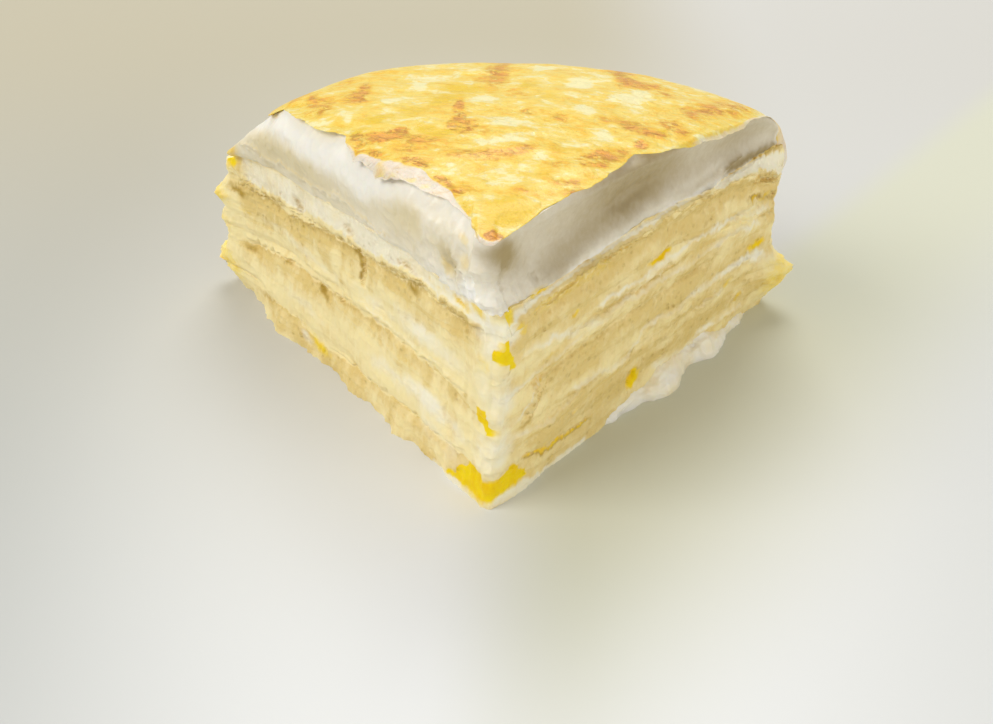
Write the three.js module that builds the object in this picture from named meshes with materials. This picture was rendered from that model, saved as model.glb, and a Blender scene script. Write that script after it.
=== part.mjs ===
import * as THREE from 'three';

// One slice of a domed cake: eleven thin crepes with ten layers of cream between them.
// Millimetres, +Z up. The slice stands on z = 0, its nose points to -Y and its outer rim to +Y.

const { lerp: mix, smoothstep, clamp, degToRad } = THREE.MathUtils;

const noseY = -45;                  // upright line where the two cut faces meet
const leftFace = degToRad(38.1);    // cut faces, turned from +Y
const rightFace = degToRad(43.5);
const heightRadius = 80;            // rim distance at which the layer heights are given
const noseRound = 1.6;
const noseCentre = 2;               // centre of the rounded nose, behind the nose line
const cornerRound = 2.5;
const crepeThickness = 0.9;
const skinThickness = 1.1;
const gap = 0.32;                   // air between neighbouring layers
const skinGap = 0.5;
const skinCover = 0.5;              // least height of dome over the rim of a crepe
const rimInset = 0.8;               // a crepe ends this far inside the dome

// The cream under the top crepe is a dome that rolls over at the rim, early on the left.
const dome = { height: 54.5, fall: 6.7, radius: 70, power: 2.6, crown: 1.1, noseDip: 0.9, noseDipWidth: 6 };
const shoulder = { start: [62, 67], end: [88.5, 82.4], drop: [13, 12.2], power: [1.2, 3], leftPart: 0.3 };

// Rim radius of the layers under the shoulder, with a wider foot.
const rim = { left: 88, right: 82.5, foot: 2.5, footHeight: 20 };

// The left cut face leans out towards the plate and swells near the rim.
const splay = { out: 1.5, grow: 30, swell: 2.6, swellAt: 67, swellWidth: 11, height: 18 };

// The nose line wanders sideways between the plate and the top: [height, x].
const noseLean = [[0, -1.3], [12, -0.6], [19, 0], [38, 1.2], [55, 0]];
const noseLeanReach = 12;

// Height of each crepe's upper face at the nose, and half-way and at the rim along both cut faces.
// stand is how far the crepe's edge stands out of the [left face, right face, rim], and cream is
// the same for the cream that lies under that crepe.
const crepes = [
  { nose: 41.8, left: [40.5, 34.0], right: [42.0, 39.8], stand: [0.5, -0.6, 0.4], cream: [0.9, 0.7, -0.8] },
  { nose: 38.0, left: [34.3, 29], right: [39.7, 32.5], stand: [-0.4, -0.5, 1.2], cream: [-0.2, -0.1, -0.9] },
  { nose: 34.2, left: [30.7, 25.8], right: [33.5, 29.0], stand: [0.0, 0.0, 1.6], cream: [0.2, 0.3, -1.0] },
  { nose: 29.5, left: [27.5, 23.0], right: [29.2, 25.5], stand: [0.3, 0.0, 1.2], cream: [0.6, 0.4, -1.1] },
  { nose: 25.3, left: [24.5, 20.0], right: [25.4, 21.8], stand: [0.6, -0.1, 1.4], cream: [1.0, 0.1, -1.2] },
  { nose: 20.2, left: [21.4, 17.0], right: [20.0, 17.2], stand: [-0.3, 0.0, 1.8], cream: [-0.2, 0.3, -2.4] },
  { nose: 16.2, left: [16.5, 13.4], right: [15.6, 12.8], stand: [0.1, 0.1, 1.0], cream: [0.5, 0.4, -1.0] },
  { nose: 12.6, left: [11.8, 9.8], right: [12.0, 9.8], stand: [0.6, 0.0, 1.5], cream: [0.9, 0.2, -1.0] },
  { nose: 8.8, left: [6.2, 6.0], right: [7.8, 7.0], stand: [-0.2, -0.3, 2.0], cream: [0.5, -0.1, -1.0] },
  { nose: 2.4, left: [2.4, 2.4], right: [2.4, 2.4], stand: [1.0, 0.0, 2.2] },
];
const noseTuck = { rise: 4.6, reach: 9 };   // the lowest crepe is dragged up at the nose

// Torn tongues of crepe that hang out of the rim: which crepe, where from left 0 to right 1, reach.
const tongues = [
  { crepe: 3, at: 0.02, width: 0.05, reach: 2.5 },
  { crepe: 4, at: 0.0, width: 0.035, reach: 5.8 },
  { crepe: 5, at: 0.3, width: 0.08, reach: 2.5 },
  { crepe: 6, at: 0.72, width: 0.06, reach: 2.6 },
  { crepe: 7, at: 0.01, width: 0.045, reach: 6.5 },
  { crepe: 7, at: 0.99, width: 0.05, reach: 2.4 },
  { crepe: 8, at: 0.52, width: 0.08, reach: 3 },
  { crepe: 9, at: 0.0, width: 0.035, reach: 7 },
  { crepe: 10, at: 0.97, width: 0.06, reach: 9.5 },
  { crepe: 11, at: 0.42, width: 0.1, reach: 3 },
];
const hang = { from: 88, rate: 0.035, height: 12 };   // overhanging edges sag

// The knife leaves every edge a little wavy, and the rim of each crepe more so.
const cutWave = { size: 0.25, rate: 0.31, shift: 2.3 };
const rimWave = { size: 0.6, rate: 29 };
const creamBulge = { size: 0.35, sink: 0.15 };
const layerRipple = { size: 0.3, rateX: 0.19, rateY: 0.23, calmHeight: 30, calmNose: 10 };

// Outline of the top crepe: it is torn back along both cut faces and at the left corner.
const skin = {
  leftCorner: 66.5, rim: 83.2, tornPart: [0.02, 0.24], ragged: 0.8,
  left: { back: 0.3, tear: 2.4, at: 21, width: 13 },
  right: { back: 0.2, tear: 2, at: 28, width: 6 },
  wave: 0.33, waveRate: 0.45,
};

// The thick cream's cut edge: swollen on the left, scooped above a lip on the right.
const thickCream = { rows: 5, stand: 0.6, swell: 1.1, lip: 1.1, lipHeight: 0.16, scoop: 1.7 };

// Cream squeezed out along the foot of the right cut face, as a low ridge on the plate.
const foot = {
  from: 29, to: 78, clear: 0.75, width: 2.2, height: 4.4, stations: 14, taper: 0.6, uneven: 0.25,
};
const footSection = [[0, 0.95], [0.25, 1], [0.75, 0.7], [1.05, 0.25], [1, 0], [0, 0]];

// Columns of corner points round the edge, and rings of them towards the hub.
const layerColumns = { nose: 5, face: 10, corner: 1, rim: 11, crowd: 1 };
const domeColumns = { nose: 5, face: 16, corner: 1, rim: 14, crowd: 1.3 };
const innerRings = [0.93];
const domeRings = [0.985, 0.96, 0.93, 0.89, 0.84, 0.78, 0.7, 0.5];
const hub = { x: 0, y: noseY + 50 };
const tongueRoot = -1.5;            // a crepe bends down outside this line

const bump = (x, centre, width) => Math.exp(-(((x - centre) / width) ** 2));
const across = (angle) => clamp((angle + leftFace) / (leftFace + rightFace), 0, 1);

function polar(x, y) {
  const r = Math.hypot(x, y - noseY);
  return { r, t: across(Math.atan2(x, y - noseY)) };
}

// Upper face of the thick cream, which carries the top crepe.
function domeHeight(x, y) {
  const { r, t } = polar(x, y);
  const side = smoothstep(t, 0, shoulder.leftPart);
  const start = mix(...shoulder.start, side);
  const roll = Math.max(r - start, 0) / (mix(...shoulder.end, t) - start);
  return dome.height - dome.fall * (r / dome.radius) ** dome.power
    - dome.noseDip * bump(r, 0, dome.noseDipWidth)
    + dome.crown * 4 * t * (1 - t) * (r / heightRadius) ** 2
    - mix(...shoulder.drop, side) * roll ** mix(...shoulder.power, side);
}

function faceHeight(nose, [half, edge], r) {
  const s = r / heightRadius;
  return nose * (1 - s) * (1 - 2 * s) + half * 4 * s * (1 - s) + edge * s * (2 * s - 1);
}

// Upper face of crepe number i, counted from 2 under the top one down to 11 on the plate.
function crepeHeight(i, x, y) {
  const { r, t } = polar(x, y);
  const { nose, left, right } = crepes[i - 2];
  const flat = mix(faceHeight(nose, left, r), faceHeight(nose, right, r), t);
  const { size, rateX, rateY, calmHeight, calmNose } = layerRipple;
  const calm = Math.min(flat / calmHeight, 1) * Math.min(r / calmNose, 1);
  const ripple = size * calm * (Math.sin(x * rateX + i * 1.7) + Math.sin(y * rateY + i * 2.9));
  const sag = hang.rate * Math.max(r - hang.from, 0) ** 2 * Math.min(flat / hang.height, 1);
  const tuck = i === 11 ? noseTuck.rise * bump(r, 0, noseTuck.reach) : 0;
  return flat + ripple - sag + tuck;
}

function leanAt(z) {
  const next = Math.max(1, noseLean.findIndex(([height]) => height > z));
  const last = z > noseLean[noseLean.length - 1][0] ? noseLean.length - 1 : next;
  const [[z0, x0], [z1, x1]] = [noseLean[last - 1], noseLean[last]];
  return mix(x0, x1, clamp((z - z0) / (z1 - z0), 0, 1));
}

const direction = (angle) => new THREE.Vector2(Math.sin(angle), Math.cos(angle));

// Walks round the slice from the nose up the right face, along the rim and back down the left
// face. Each column has its place, its outward normal, its distance u from the nose, and its
// share of left face, right face and rim. Face columns crowd together towards the rim.
function outline(rimRadius, columns = layerColumns) {
  const bisector = (rightFace - leftFace) / 2;
  const halfAngle = (rightFace + leftFace) / 2;
  const stand = noseRound - noseCentre * Math.sin(halfAngle);
  const begin = noseCentre * Math.cos(halfAngle);
  const rightNormal = rightFace + Math.PI / 2;
  const leftNormal = 1.5 * Math.PI - leftFace;
  const walk = [];
  const add = (place, normal, u, left, right) => {
    const t = across(Math.atan2(place.x, place.y));
    walk.push({ x: place.x, y: place.y + noseY, normal, u, t, left, right, rim: 1 - left - right });
  };
  const faceColumn = (faceAngle, normalAngle, end, part, left) => {
    const u = mix(begin, end, part);
    const place = direction(faceAngle).multiplyScalar(u).addScaledVector(direction(normalAngle), stand);
    add(place, direction(normalAngle), u, left, 1 - left);
  };
  const cornerColumn = (faceAngle, normalAngle, radius, part, left) => {
    const turned = direction(normalAngle).lerp(direction(faceAngle), part).normalize();
    const place = direction(faceAngle).multiplyScalar(radius - cornerRound)
      .addScaledVector(direction(normalAngle), stand - cornerRound)
      .addScaledVector(turned, cornerRound);
    add(place, turned, radius, left * (1 - part), (1 - left) * (1 - part));
  };
  const facePart = (i) => 1 - (1 - i / columns.face) ** columns.crowd;
  const rightRadius = rimRadius(1);
  const leftRadius = rimRadius(0);
  for (let i = 0; i < columns.nose; i++) {
    const part = (i + 0.5) / columns.nose;
    const turned = direction(mix(leftNormal, rightNormal, part));
    const place = direction(bisector).multiplyScalar(noseCentre).addScaledVector(turned, noseRound);
    add(place, turned, 0, 1 - part, part);
  }
  for (let i = 0; i <= columns.face; i++) {
    faceColumn(rightFace, rightNormal, rightRadius - cornerRound, facePart(i), 0);
  }
  for (let i = 1; i <= columns.corner; i++) {
    cornerColumn(rightFace, rightNormal, rightRadius, i / (columns.corner + 1), 0);
  }
  for (let i = 0; i <= columns.rim; i++) {
    const edge = cornerRound / heightRadius;
    const angle = mix(rightFace - edge, edge - leftFace, i / columns.rim);
    const normal = direction(angle);
    add(normal.clone().multiplyScalar(rimRadius(across(angle))), normal, heightRadius, 0, 0);
  }
  for (let i = columns.corner; i >= 1; i--) {
    cornerColumn(-leftFace, leftNormal, leftRadius, i / (columns.corner + 1), 1);
  }
  for (let i = columns.face; i >= 0; i--) {
    faceColumn(-leftFace, leftNormal, leftRadius - cornerRound, facePart(i), 1);
  }
  return walk;
}

// Moves a column out along its normal, with the left face's splay and the nose's lean.
function edgePoint(column, out, height) {
  const swell = splay.swell * bump(column.u, splay.swellAt, splay.swellWidth);
  const spread = column.left * clamp(1 - height / splay.height, 0, 1)
    * (splay.out * Math.min(column.u / splay.grow, 1) + swell);
  const lean = leanAt(height) * Math.exp(-column.u / noseLeanReach) * (column.left + column.right);
  const push = out + spread;
  return [column.x + column.normal.x * push + lean, column.y + column.normal.y * push];
}

// Joins rings of equal length, lowest first, into a closed skin with its faces pointing out.
function closedMesh(rings, floorPoint, roofPoint) {
  const count = rings[0].length;
  const position = [...rings.flat(), floorPoint, roofPoint].flat();
  const [floorIndex, roofIndex] = [rings.length * count, rings.length * count + 1];
  const index = [];
  for (let i = 0; i < count; i++) {
    const next = (i + 1) % count;
    index.push(floorIndex, next, i);
    for (let k = 0; k < rings.length - 1; k++) {
      const [a, b] = [k * count, (k + 1) * count];
      index.push(a + i, a + next, b + next, a + i, b + next, b + i);
    }
    const last = (rings.length - 1) * count;
    index.push(last + i, last + next, roofIndex);
  }
  const geometry = new THREE.BufferGeometry();
  geometry.setAttribute('position', new THREE.Float32BufferAttribute(position, 3));
  geometry.setIndex(index);
  return geometry;
}

const towardsHub = ([x, y], scale) => [mix(hub.x, x, scale), mix(hub.y, y, scale)];

// A layer between two height fields. out(column, w) moves its edge, w = 0 at the bottom, and a
// crepe also has a ring at its root, inside the edge.
function layerGeometry({ walk, low, high, out, rows, root, roof }) {
  const lift = ([x, y], height) => [x, y, height(x, y)];
  const wall = [];
  for (let j = 0; j <= rows; j++) {
    const w = j / rows;
    wall.push(walk.map((column) => {
      const level = mix(low(column.x, column.y), high(column.x, column.y), w);
      const [x, y] = edgePoint(column, out(column, w), level);
      return [x, y, mix(low(x, y), high(x, y), w)];
    }));
  }
  const flat = outline(() => heightRadius, roof ? domeColumns : layerColumns);
  const inner = (scale, height) => flat.map(({ x, y }) => lift(towardsHub([x, y], scale), height));
  const upper = (scale) => wall[rows].map(([x, y]) => lift(towardsHub([x, y], scale), high));
  const rooted = (height) => walk.map((column) => {
    const level = height(column.x, column.y);
    return lift(edgePoint(column, root, level), height);
  });
  const floorRings = innerRings.map((scale) => inner(scale, low));
  const roofRings = roof ? roof.map(upper) : innerRings.map((scale) => inner(scale, high));
  if (root) {
    floorRings.push(rooted(low));
    roofRings.unshift(rooted(high));
  }
  const centre = [hub.x, hub.y];
  return closedMesh([...floorRings, ...wall, ...roofRings], lift(centre, low), lift(centre, high));
}

function domeNormal(x, y) {
  const step = 0.05;
  const slopeX = (domeHeight(x + step, y) - domeHeight(x - step, y)) / (2 * step);
  const slopeY = (domeHeight(x, y + step) - domeHeight(x, y - step)) / (2 * step);
  return new THREE.Vector3(-slopeX, -slopeY, 1).normalize();
}

// The browned top crepe lies on the dome, an even skin that hangs over the rim.
function skinGeometry() {
  const reach = (t) => mix(skin.leftCorner, skin.rim, smoothstep(t, ...skin.tornPart))
    + skin.ragged * Math.sin(t * 23) * Math.sin(t * Math.PI);
  const torn = ({ back, tear, at: place, width }, u) => skin.wave * Math.sin(u * skin.waveRate)
    - back - tear * bump(u, place, width);
  const edge = outline(reach, domeColumns).map((column) => {
    const out = column.left * torn(skin.left, column.u) + column.right * torn(skin.right, column.u);
    return edgePoint(column, out, dome.height);
  });
  const at = ([x, y], away) => new THREE.Vector3(x, y, domeHeight(x, y))
    .addScaledVector(domeNormal(x, y), away).toArray();
  const scales = [1, ...domeRings];
  const under = [...scales].reverse().map((scale) => edge.map((p) => at(towardsHub(p, scale), skinGap)));
  const over = scales.map((scale) => edge.map((p) => at(towardsHub(p, scale), skinGap + skinThickness)));
  const centre = [hub.x, hub.y];
  return closedMesh([...under, ...over], at(centre, skinGap), at(centre, skinGap + skinThickness));
}

// Largest radius at which a level still lies under the dome.
function radiusUnderDome(level, t) {
  const heading = direction(mix(-leftFace, rightFace, t));
  let [inside, outside] = [40, 95];
  for (let i = 0; i < 20; i++) {
    const r = (inside + outside) / 2;
    const [x, y] = [heading.x * r, heading.y * r + noseY];
    if (domeHeight(x, y) - level(x, y) > skinCover) inside = r;
    else outside = r;
  }
  return inside;
}

function bodyRadius(height, t) {
  return mix(rim.left, rim.right, t) + rim.foot * clamp(1 - height / rim.footHeight, 0, 1) ** 2;
}

function tongueReach(i, t) {
  let reach = 0;
  for (const { crepe, at, width, reach: length } of tongues) {
    if (crepe === i) reach += length * bump(t, at, width);
  }
  return reach;
}

const slice = new THREE.Group();

function addPiece(name, geometry, color, roughness) {
  const material = new THREE.MeshStandardMaterial({ color, roughness, metalness: 0 });
  const mesh = new THREE.Mesh(geometry, material);
  mesh.name = name;
  slice.add(mesh);
}

const number = (i) => String(i).padStart(2, '0');

addPiece('crepe_01', skinGeometry(), 0xf6c14f, 0.45);

const creamBottom = (x, y) => crepeHeight(2, x, y) + gap;
const thickRadius = (t) => Math.min(bodyRadius(dome.height, t), radiusUnderDome(creamBottom, t));
const swollen = (w) => thickCream.stand * (1 - w) + thickCream.swell * Math.sin(Math.PI * w);
const scooped = (w) => thickCream.lip * bump(w, 0, thickCream.lipHeight)
  - thickCream.scoop * Math.sin(Math.PI * w ** 0.8) ** 0.8;
addPiece('cream_01', layerGeometry({
  walk: outline(thickRadius, domeColumns),
  low: creamBottom,
  high: domeHeight,
  out: (column, w) => column.left * swollen(w) + column.right * scooped(w),
  rows: thickCream.rows,
  roof: domeRings,
}), 0xf1ead9, 0.4);

const wave = (u, k) => cutWave.size * Math.sin(u * cutWave.rate + k * cutWave.shift);

// Each crepe from the second down, with the cream that lies under it.
for (let i = 2; i <= 11; i++) {
  const { left, stand, cream } = crepes[i - 2];
  const top = (x, y) => crepeHeight(i, x, y);
  const bottom = i === 11 ? () => 0 : (x, y) => top(x, y) - crepeThickness;
  const walk = outline((t) => Math.min(bodyRadius(left[0], t), radiusUnderDome(top, t) - rimInset));
  const crepeOut = (column) => column.left * (stand[0] + wave(column.u, i))
    + column.right * (stand[1] + wave(column.u, i + 5))
    + column.rim * (stand[2] + rimWave.size * Math.sin(column.t * rimWave.rate + i))
    + (column.rim + column.left * bump(column.u, heightRadius, 7)) * tongueReach(i, column.t);
  const creamOut = (column, w) => creamBulge.size * Math.sin(Math.PI * w) - creamBulge.sink
    + column.left * (cream[0] + wave(column.u, i + 9))
    + column.right * (cream[1] + wave(column.u, i + 14))
    + column.rim * cream[2];
  const crepe = layerGeometry({ walk, low: bottom, high: top, out: crepeOut, rows: 1, root: tongueRoot });
  addPiece(`crepe_${number(i)}`, crepe, 0xe9c56a, 0.6);
  if (i === 11) break;
  const low = (x, y) => crepeHeight(i + 1, x, y) + gap;
  const high = (x, y) => bottom(x, y) - gap;
  addPiece(`cream_${number(i)}`, layerGeometry({ walk, low, high, out: creamOut, rows: 2 }), 0xf3e9c8, 0.45);
}

function footGeometry() {
  const along = direction(rightFace);
  const away = direction(rightFace + Math.PI / 2);
  const rings = [];
  for (let i = 0; i <= foot.stations; i++) {
    const part = i / foot.stations;
    const u = mix(foot.from, foot.to, part);
    const fill = Math.max(Math.sin(Math.PI * part), 0.02) ** foot.taper;
    const width = foot.width * fill * (1 + foot.uneven * Math.sin(u * 0.33));
    const height = foot.height * fill * (1 + 0.5 * foot.uneven * Math.sin(u * 0.41 + 1));
    rings.push(footSection.map(([side, up]) => {
      const out = foot.clear + side * width;
      return [along.x * u + away.x * out, along.y * u + away.y * out + noseY, up * height];
    }));
  }
  const middle = (ring) => ring.reduce((sum, p) => sum.map((v, k) => v + p[k] / ring.length), [0, 0, 0]);
  return closedMesh(rings, middle(rings[0]), middle(rings[foot.stations]));
}
addPiece('cream_foot', footGeometry(), 0xf3eedd, 0.4);

export default slice;
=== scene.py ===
import math

import bpy
import numpy as np
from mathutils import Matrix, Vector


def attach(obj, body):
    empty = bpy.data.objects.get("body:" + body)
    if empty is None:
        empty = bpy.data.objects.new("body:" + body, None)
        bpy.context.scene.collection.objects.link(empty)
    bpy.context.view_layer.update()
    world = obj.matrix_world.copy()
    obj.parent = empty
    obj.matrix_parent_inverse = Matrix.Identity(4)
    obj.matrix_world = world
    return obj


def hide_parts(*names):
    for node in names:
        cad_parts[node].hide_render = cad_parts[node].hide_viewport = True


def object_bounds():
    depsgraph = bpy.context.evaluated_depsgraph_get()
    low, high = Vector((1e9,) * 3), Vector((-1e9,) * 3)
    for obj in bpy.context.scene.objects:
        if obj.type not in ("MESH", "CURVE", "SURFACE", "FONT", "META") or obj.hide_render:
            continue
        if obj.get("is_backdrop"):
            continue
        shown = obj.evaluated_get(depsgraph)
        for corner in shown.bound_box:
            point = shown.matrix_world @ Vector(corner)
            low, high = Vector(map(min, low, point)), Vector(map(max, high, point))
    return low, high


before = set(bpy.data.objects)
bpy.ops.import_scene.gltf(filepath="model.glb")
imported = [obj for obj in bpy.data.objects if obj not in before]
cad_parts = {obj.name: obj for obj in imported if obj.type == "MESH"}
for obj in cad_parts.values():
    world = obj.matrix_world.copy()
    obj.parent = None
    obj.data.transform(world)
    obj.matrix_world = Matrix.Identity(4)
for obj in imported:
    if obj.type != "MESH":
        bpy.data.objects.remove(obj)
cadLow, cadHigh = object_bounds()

# A slice of mille crepe cake. Lengths are in millimetres until wrapSheet makes a mesh, which is in metres.
print("slice: frame loaded")

scatter = np.random.default_rng(11).uniform(-1, 1, (64, 64, 64))      # random numbers behind every lump


def mix(a, b, part):
    return a + (b - a) * part


def bump(x, centre, width):
    return np.exp(-(((x - centre) / width) ** 2))


def ease(x, low, high):
    part = np.clip((x - low) / (high - low), 0, 1)
    return part * part * (3 - 2 * part)


def cloud(x, y, z, size, seed=0):
    # smooth random field from -1 to 1 whose lumps are about size across
    cells, parts = [], []
    for k, value in enumerate(np.broadcast_arrays(x, y, z)):
        place = value / size + 13.7 * seed + 5.1 * k
        cell = np.floor(place).astype(int)
        cells.append(cell)
        parts.append(ease(place - cell, 0, 1))
    total = 0
    for corner in range(8):
        steps = [corner >> k & 1 for k in range(3)]
        weight = 1
        for k in range(3):
            weight = weight * (parts[k] if steps[k] else 1 - parts[k])
        total = total + weight * scatter[tuple((cells[k] + steps[k]) % len(scatter) for k in range(3))]
    return total


def torn(x, y, z, size, seed=0):
    # sharp-edged lumps, as where crumb pulls apart
    return 1 - 2 * np.sqrt(np.abs(cloud(x, y, z, size, seed)))


def roughen(parts, x, y, z):
    # a sum of lumps, each (kind, amount, size, seed, share of z)
    return sum(amount * kind(x, y, z * share, size, seed) for kind, amount, size, seed, share in parts)


wedge = {
    "noseY": -45.0,            # upright line where the cut faces meet
    "leftFace": math.radians(38.1),
    "rightFace": math.radians(43.5),
    "heightRadius": 80.0,      # where the rim heights of the layers are given
    "noseStand": 0.29,         # how far the faces stand out of the line through the nose
    "noseRound": 1.6,
    "cornerRound": 2.5,
    "hubY": 5.0,               # middle of the slice, where the grids close
    "splay": {
        "out": 1.5, "grow": 30, "swell": 2.6, "swellAt": 67, "swellWidth": 11, "height": 18,
        "drips": 0.9, "dripHeight": 5, "lumps": ((cloud, 1, 3.6, 55, 1), (torn, 0.4, 2.2, 56, 1)),
    },
    # sideways lean of the nose by height
    "lean": ([0, 12, 19, 38, 47, 55], [-1.3, -0.6, 0, 1.2, -1.2, -1]),
    "leanReach": 12,
    "rim": {"left": 88.0, "right": 82.5, "foot": 2.5, "footHeight": 20},
    # where the layers spill out sideways at the rim's corners, by height: widely, and in torn lobes
    "spillReach": (12, 5),
    "spillRough": ((cloud, 0.35, 2.6, 50, 1), (torn, 0.18, 1.3, 51, 1)),
    "spills": [
        {"at": (-54.3, 24.2), "body": ([0, 5, 10, 20, 27, 32, 38, 46], [0, 1.6, 3.0, 3.0, 2.0, 0.9, 0.8, 0]),
         "lobes": ([0, 2, 4.5, 7, 10, 12, 15, 17, 20, 23, 24.5, 27],
                   [0, 1, 3.2, 3.4, 2, 0.9, 1.6, 1.8, 0.4, 2.8, 1.4, 0])},
        {"at": (56.8, 14.8), "body": ([0, 5, 10, 16, 24, 40], [0, 1.0, 1.6, 1.2, 0.3, 0]),
         "lobes": ([1.5, 3, 4.5, 6, 7.5, 9, 10.5, 12, 13.5, 16],
                   [0, 1.2, 2.4, 3.4, 4.1, 4.4, 4.1, 3.0, 1.4, 0])},
    ],
}
# the dome under the top crepe: how it falls from the middle, and how it rolls over at the rim
dome = {
    "height": 54.5, "fall": 6.7, "radius": 70, "power": 2.6, "crown": 1.1,
    "noseDip": 0.9, "noseDipWidth": 6, "leftPart": 0.3,
    "start": (62, 67), "end": (88.5, 82.4), "drop": (13, 12.2), "rollPower": (1.2, 3), "rollEnd": 1.08,
}
stack = {
    "crepeThickness": 0.9, "hangFrom": 88, "hangRate": 0.035, "hangHeight": 12,
    "tuckRise": 4.6, "tuckReach": 9,      # the lowest crepe is dragged up at the nose
    "ripple": ((cloud, 0.3, 5, 2, 1), (cloud, 0.16, 1.9, 3, 1), (cloud, 0.1, 0.8, 33, 1)),
    "overlap": 0.06,           # neighbours meet with no gap showing
    # height at the nose, then half-way and at the rim on the left and on the right; how far the crepe
    # stands out on the left, right and rim, and then the cream under it
    2: (41.8, (40.5, 34.0), (42.0, 39.8), (0.5, -0.6, 0.4), (0.9, 0.7, -0.8)),
    3: (38.0, (34.3, 29.0), (39.7, 32.5), (-0.4, -0.5, 1.2), (-0.2, -0.1, -0.9)),
    4: (34.2, (30.7, 25.8), (33.5, 29.0), (0.0, 0.0, 1.6), (0.2, 0.3, -1.0)),
    5: (29.5, (27.5, 23.0), (29.2, 25.5), (0.3, 0.0, 1.2), (0.6, 0.4, -1.1)),
    6: (25.3, (24.5, 20.0), (25.4, 21.8), (0.6, -0.1, 1.4), (1.0, 0.1, -1.2)),
    7: (20.2, (21.4, 17.0), (20.0, 17.2), (-0.3, 0.0, 1.8), (-0.2, 0.3, -2.4)),
    8: (16.2, (16.5, 13.4), (15.6, 12.8), (0.1, 0.1, 1.0), (0.5, 0.4, -1.0)),
    9: (12.6, (11.8, 9.8), (12.0, 9.8), (0.6, 0.0, 1.5), (0.9, 0.2, -1.0)),
    10: (8.8, (6.2, 6.0), (7.8, 7.0), (-0.2, -0.3, 2.0), (0.5, -0.1, -1.0)),
    11: (2.4, (2.4, 2.4), (2.4, 2.4), (1.0, 0.0, 2.2), (0.0, 0.0, 0.0)),
}
# torn tongues at the rim: crepe, place from left 0 to right 1, width, reach, droop
tongues = [
    (5, 0.3, 0.08, 2.5, 1.0), (6, 0.72, 0.06, 2.6, 1.0), (8, 0.52, 0.08, 3.0, 1.0),
    (11, 0.42, 0.1, 3.0, 0.0),
]
columns = {"nose": 14, "face": 320, "corner": 10, "rim": 190}      # of every grid, round the slice


def polar(x, y):
    # distance from the nose line, and share of the way from the left face to the right one
    angle = np.arctan2(x, y - wedge["noseY"])
    share = (angle + wedge["leftFace"]) / (wedge["leftFace"] + wedge["rightFace"])
    return np.hypot(x, y - wedge["noseY"]), np.clip(share, 0, 1)


def domeHeight(x, y):
    r, t = polar(x, y)
    side = ease(t, 0, dome["leftPart"])
    start = mix(*dome["start"], side)
    roll = np.clip((r - start) / (mix(*dome["end"], t) - start), 0, dome["rollEnd"])
    return (dome["height"] - dome["fall"] * (r / dome["radius"]) ** dome["power"]
            - dome["noseDip"] * bump(r, 0, dome["noseDipWidth"])
            + dome["crown"] * 4 * t * (1 - t) * (r / wedge["heightRadius"]) ** 2
            - mix(*dome["drop"], side) * roll ** mix(*dome["rollPower"], side))


def faceHeight(nose, half, edge, r):
    # a curve through the heights at the nose, half-way and at the rim
    s = r / wedge["heightRadius"]
    return nose * (1 - s) * (1 - 2 * s) + half * 4 * s * (1 - s) + edge * s * (2 * s - 1)


def crepeTop(i, x, y):
    r, t = polar(x, y)
    nose, left, right = stack[i][:3]
    flat = mix(faceHeight(nose, *left, r), faceHeight(nose, *right, r), t)
    calm = np.minimum(flat / 30, 1) * np.minimum(r / 10, 1)
    wave = 0.3 * (np.sin(x * 0.19 + i * 1.7) + np.sin(y * 0.23 + i * 2.9))
    ripple = calm * (wave + roughen(stack["ripple"], x, y, i * 9.0))
    past = np.maximum(r - stack["hangFrom"], 0)
    sag = stack["hangRate"] * past ** 2 * np.minimum(flat / stack["hangHeight"], 1)
    tuck = stack["tuckRise"] * bump(r, 0, stack["tuckReach"]) if i == 11 else 0
    return flat + ripple - sag + tuck


def crepeUnder(i, x, y):
    if i == 11:
        return np.zeros_like(x)
    return crepeTop(i, x, y) - stack["crepeThickness"] * (1 + 0.18 * cloud(x, y, i * 9.0, 4, 4))


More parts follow.
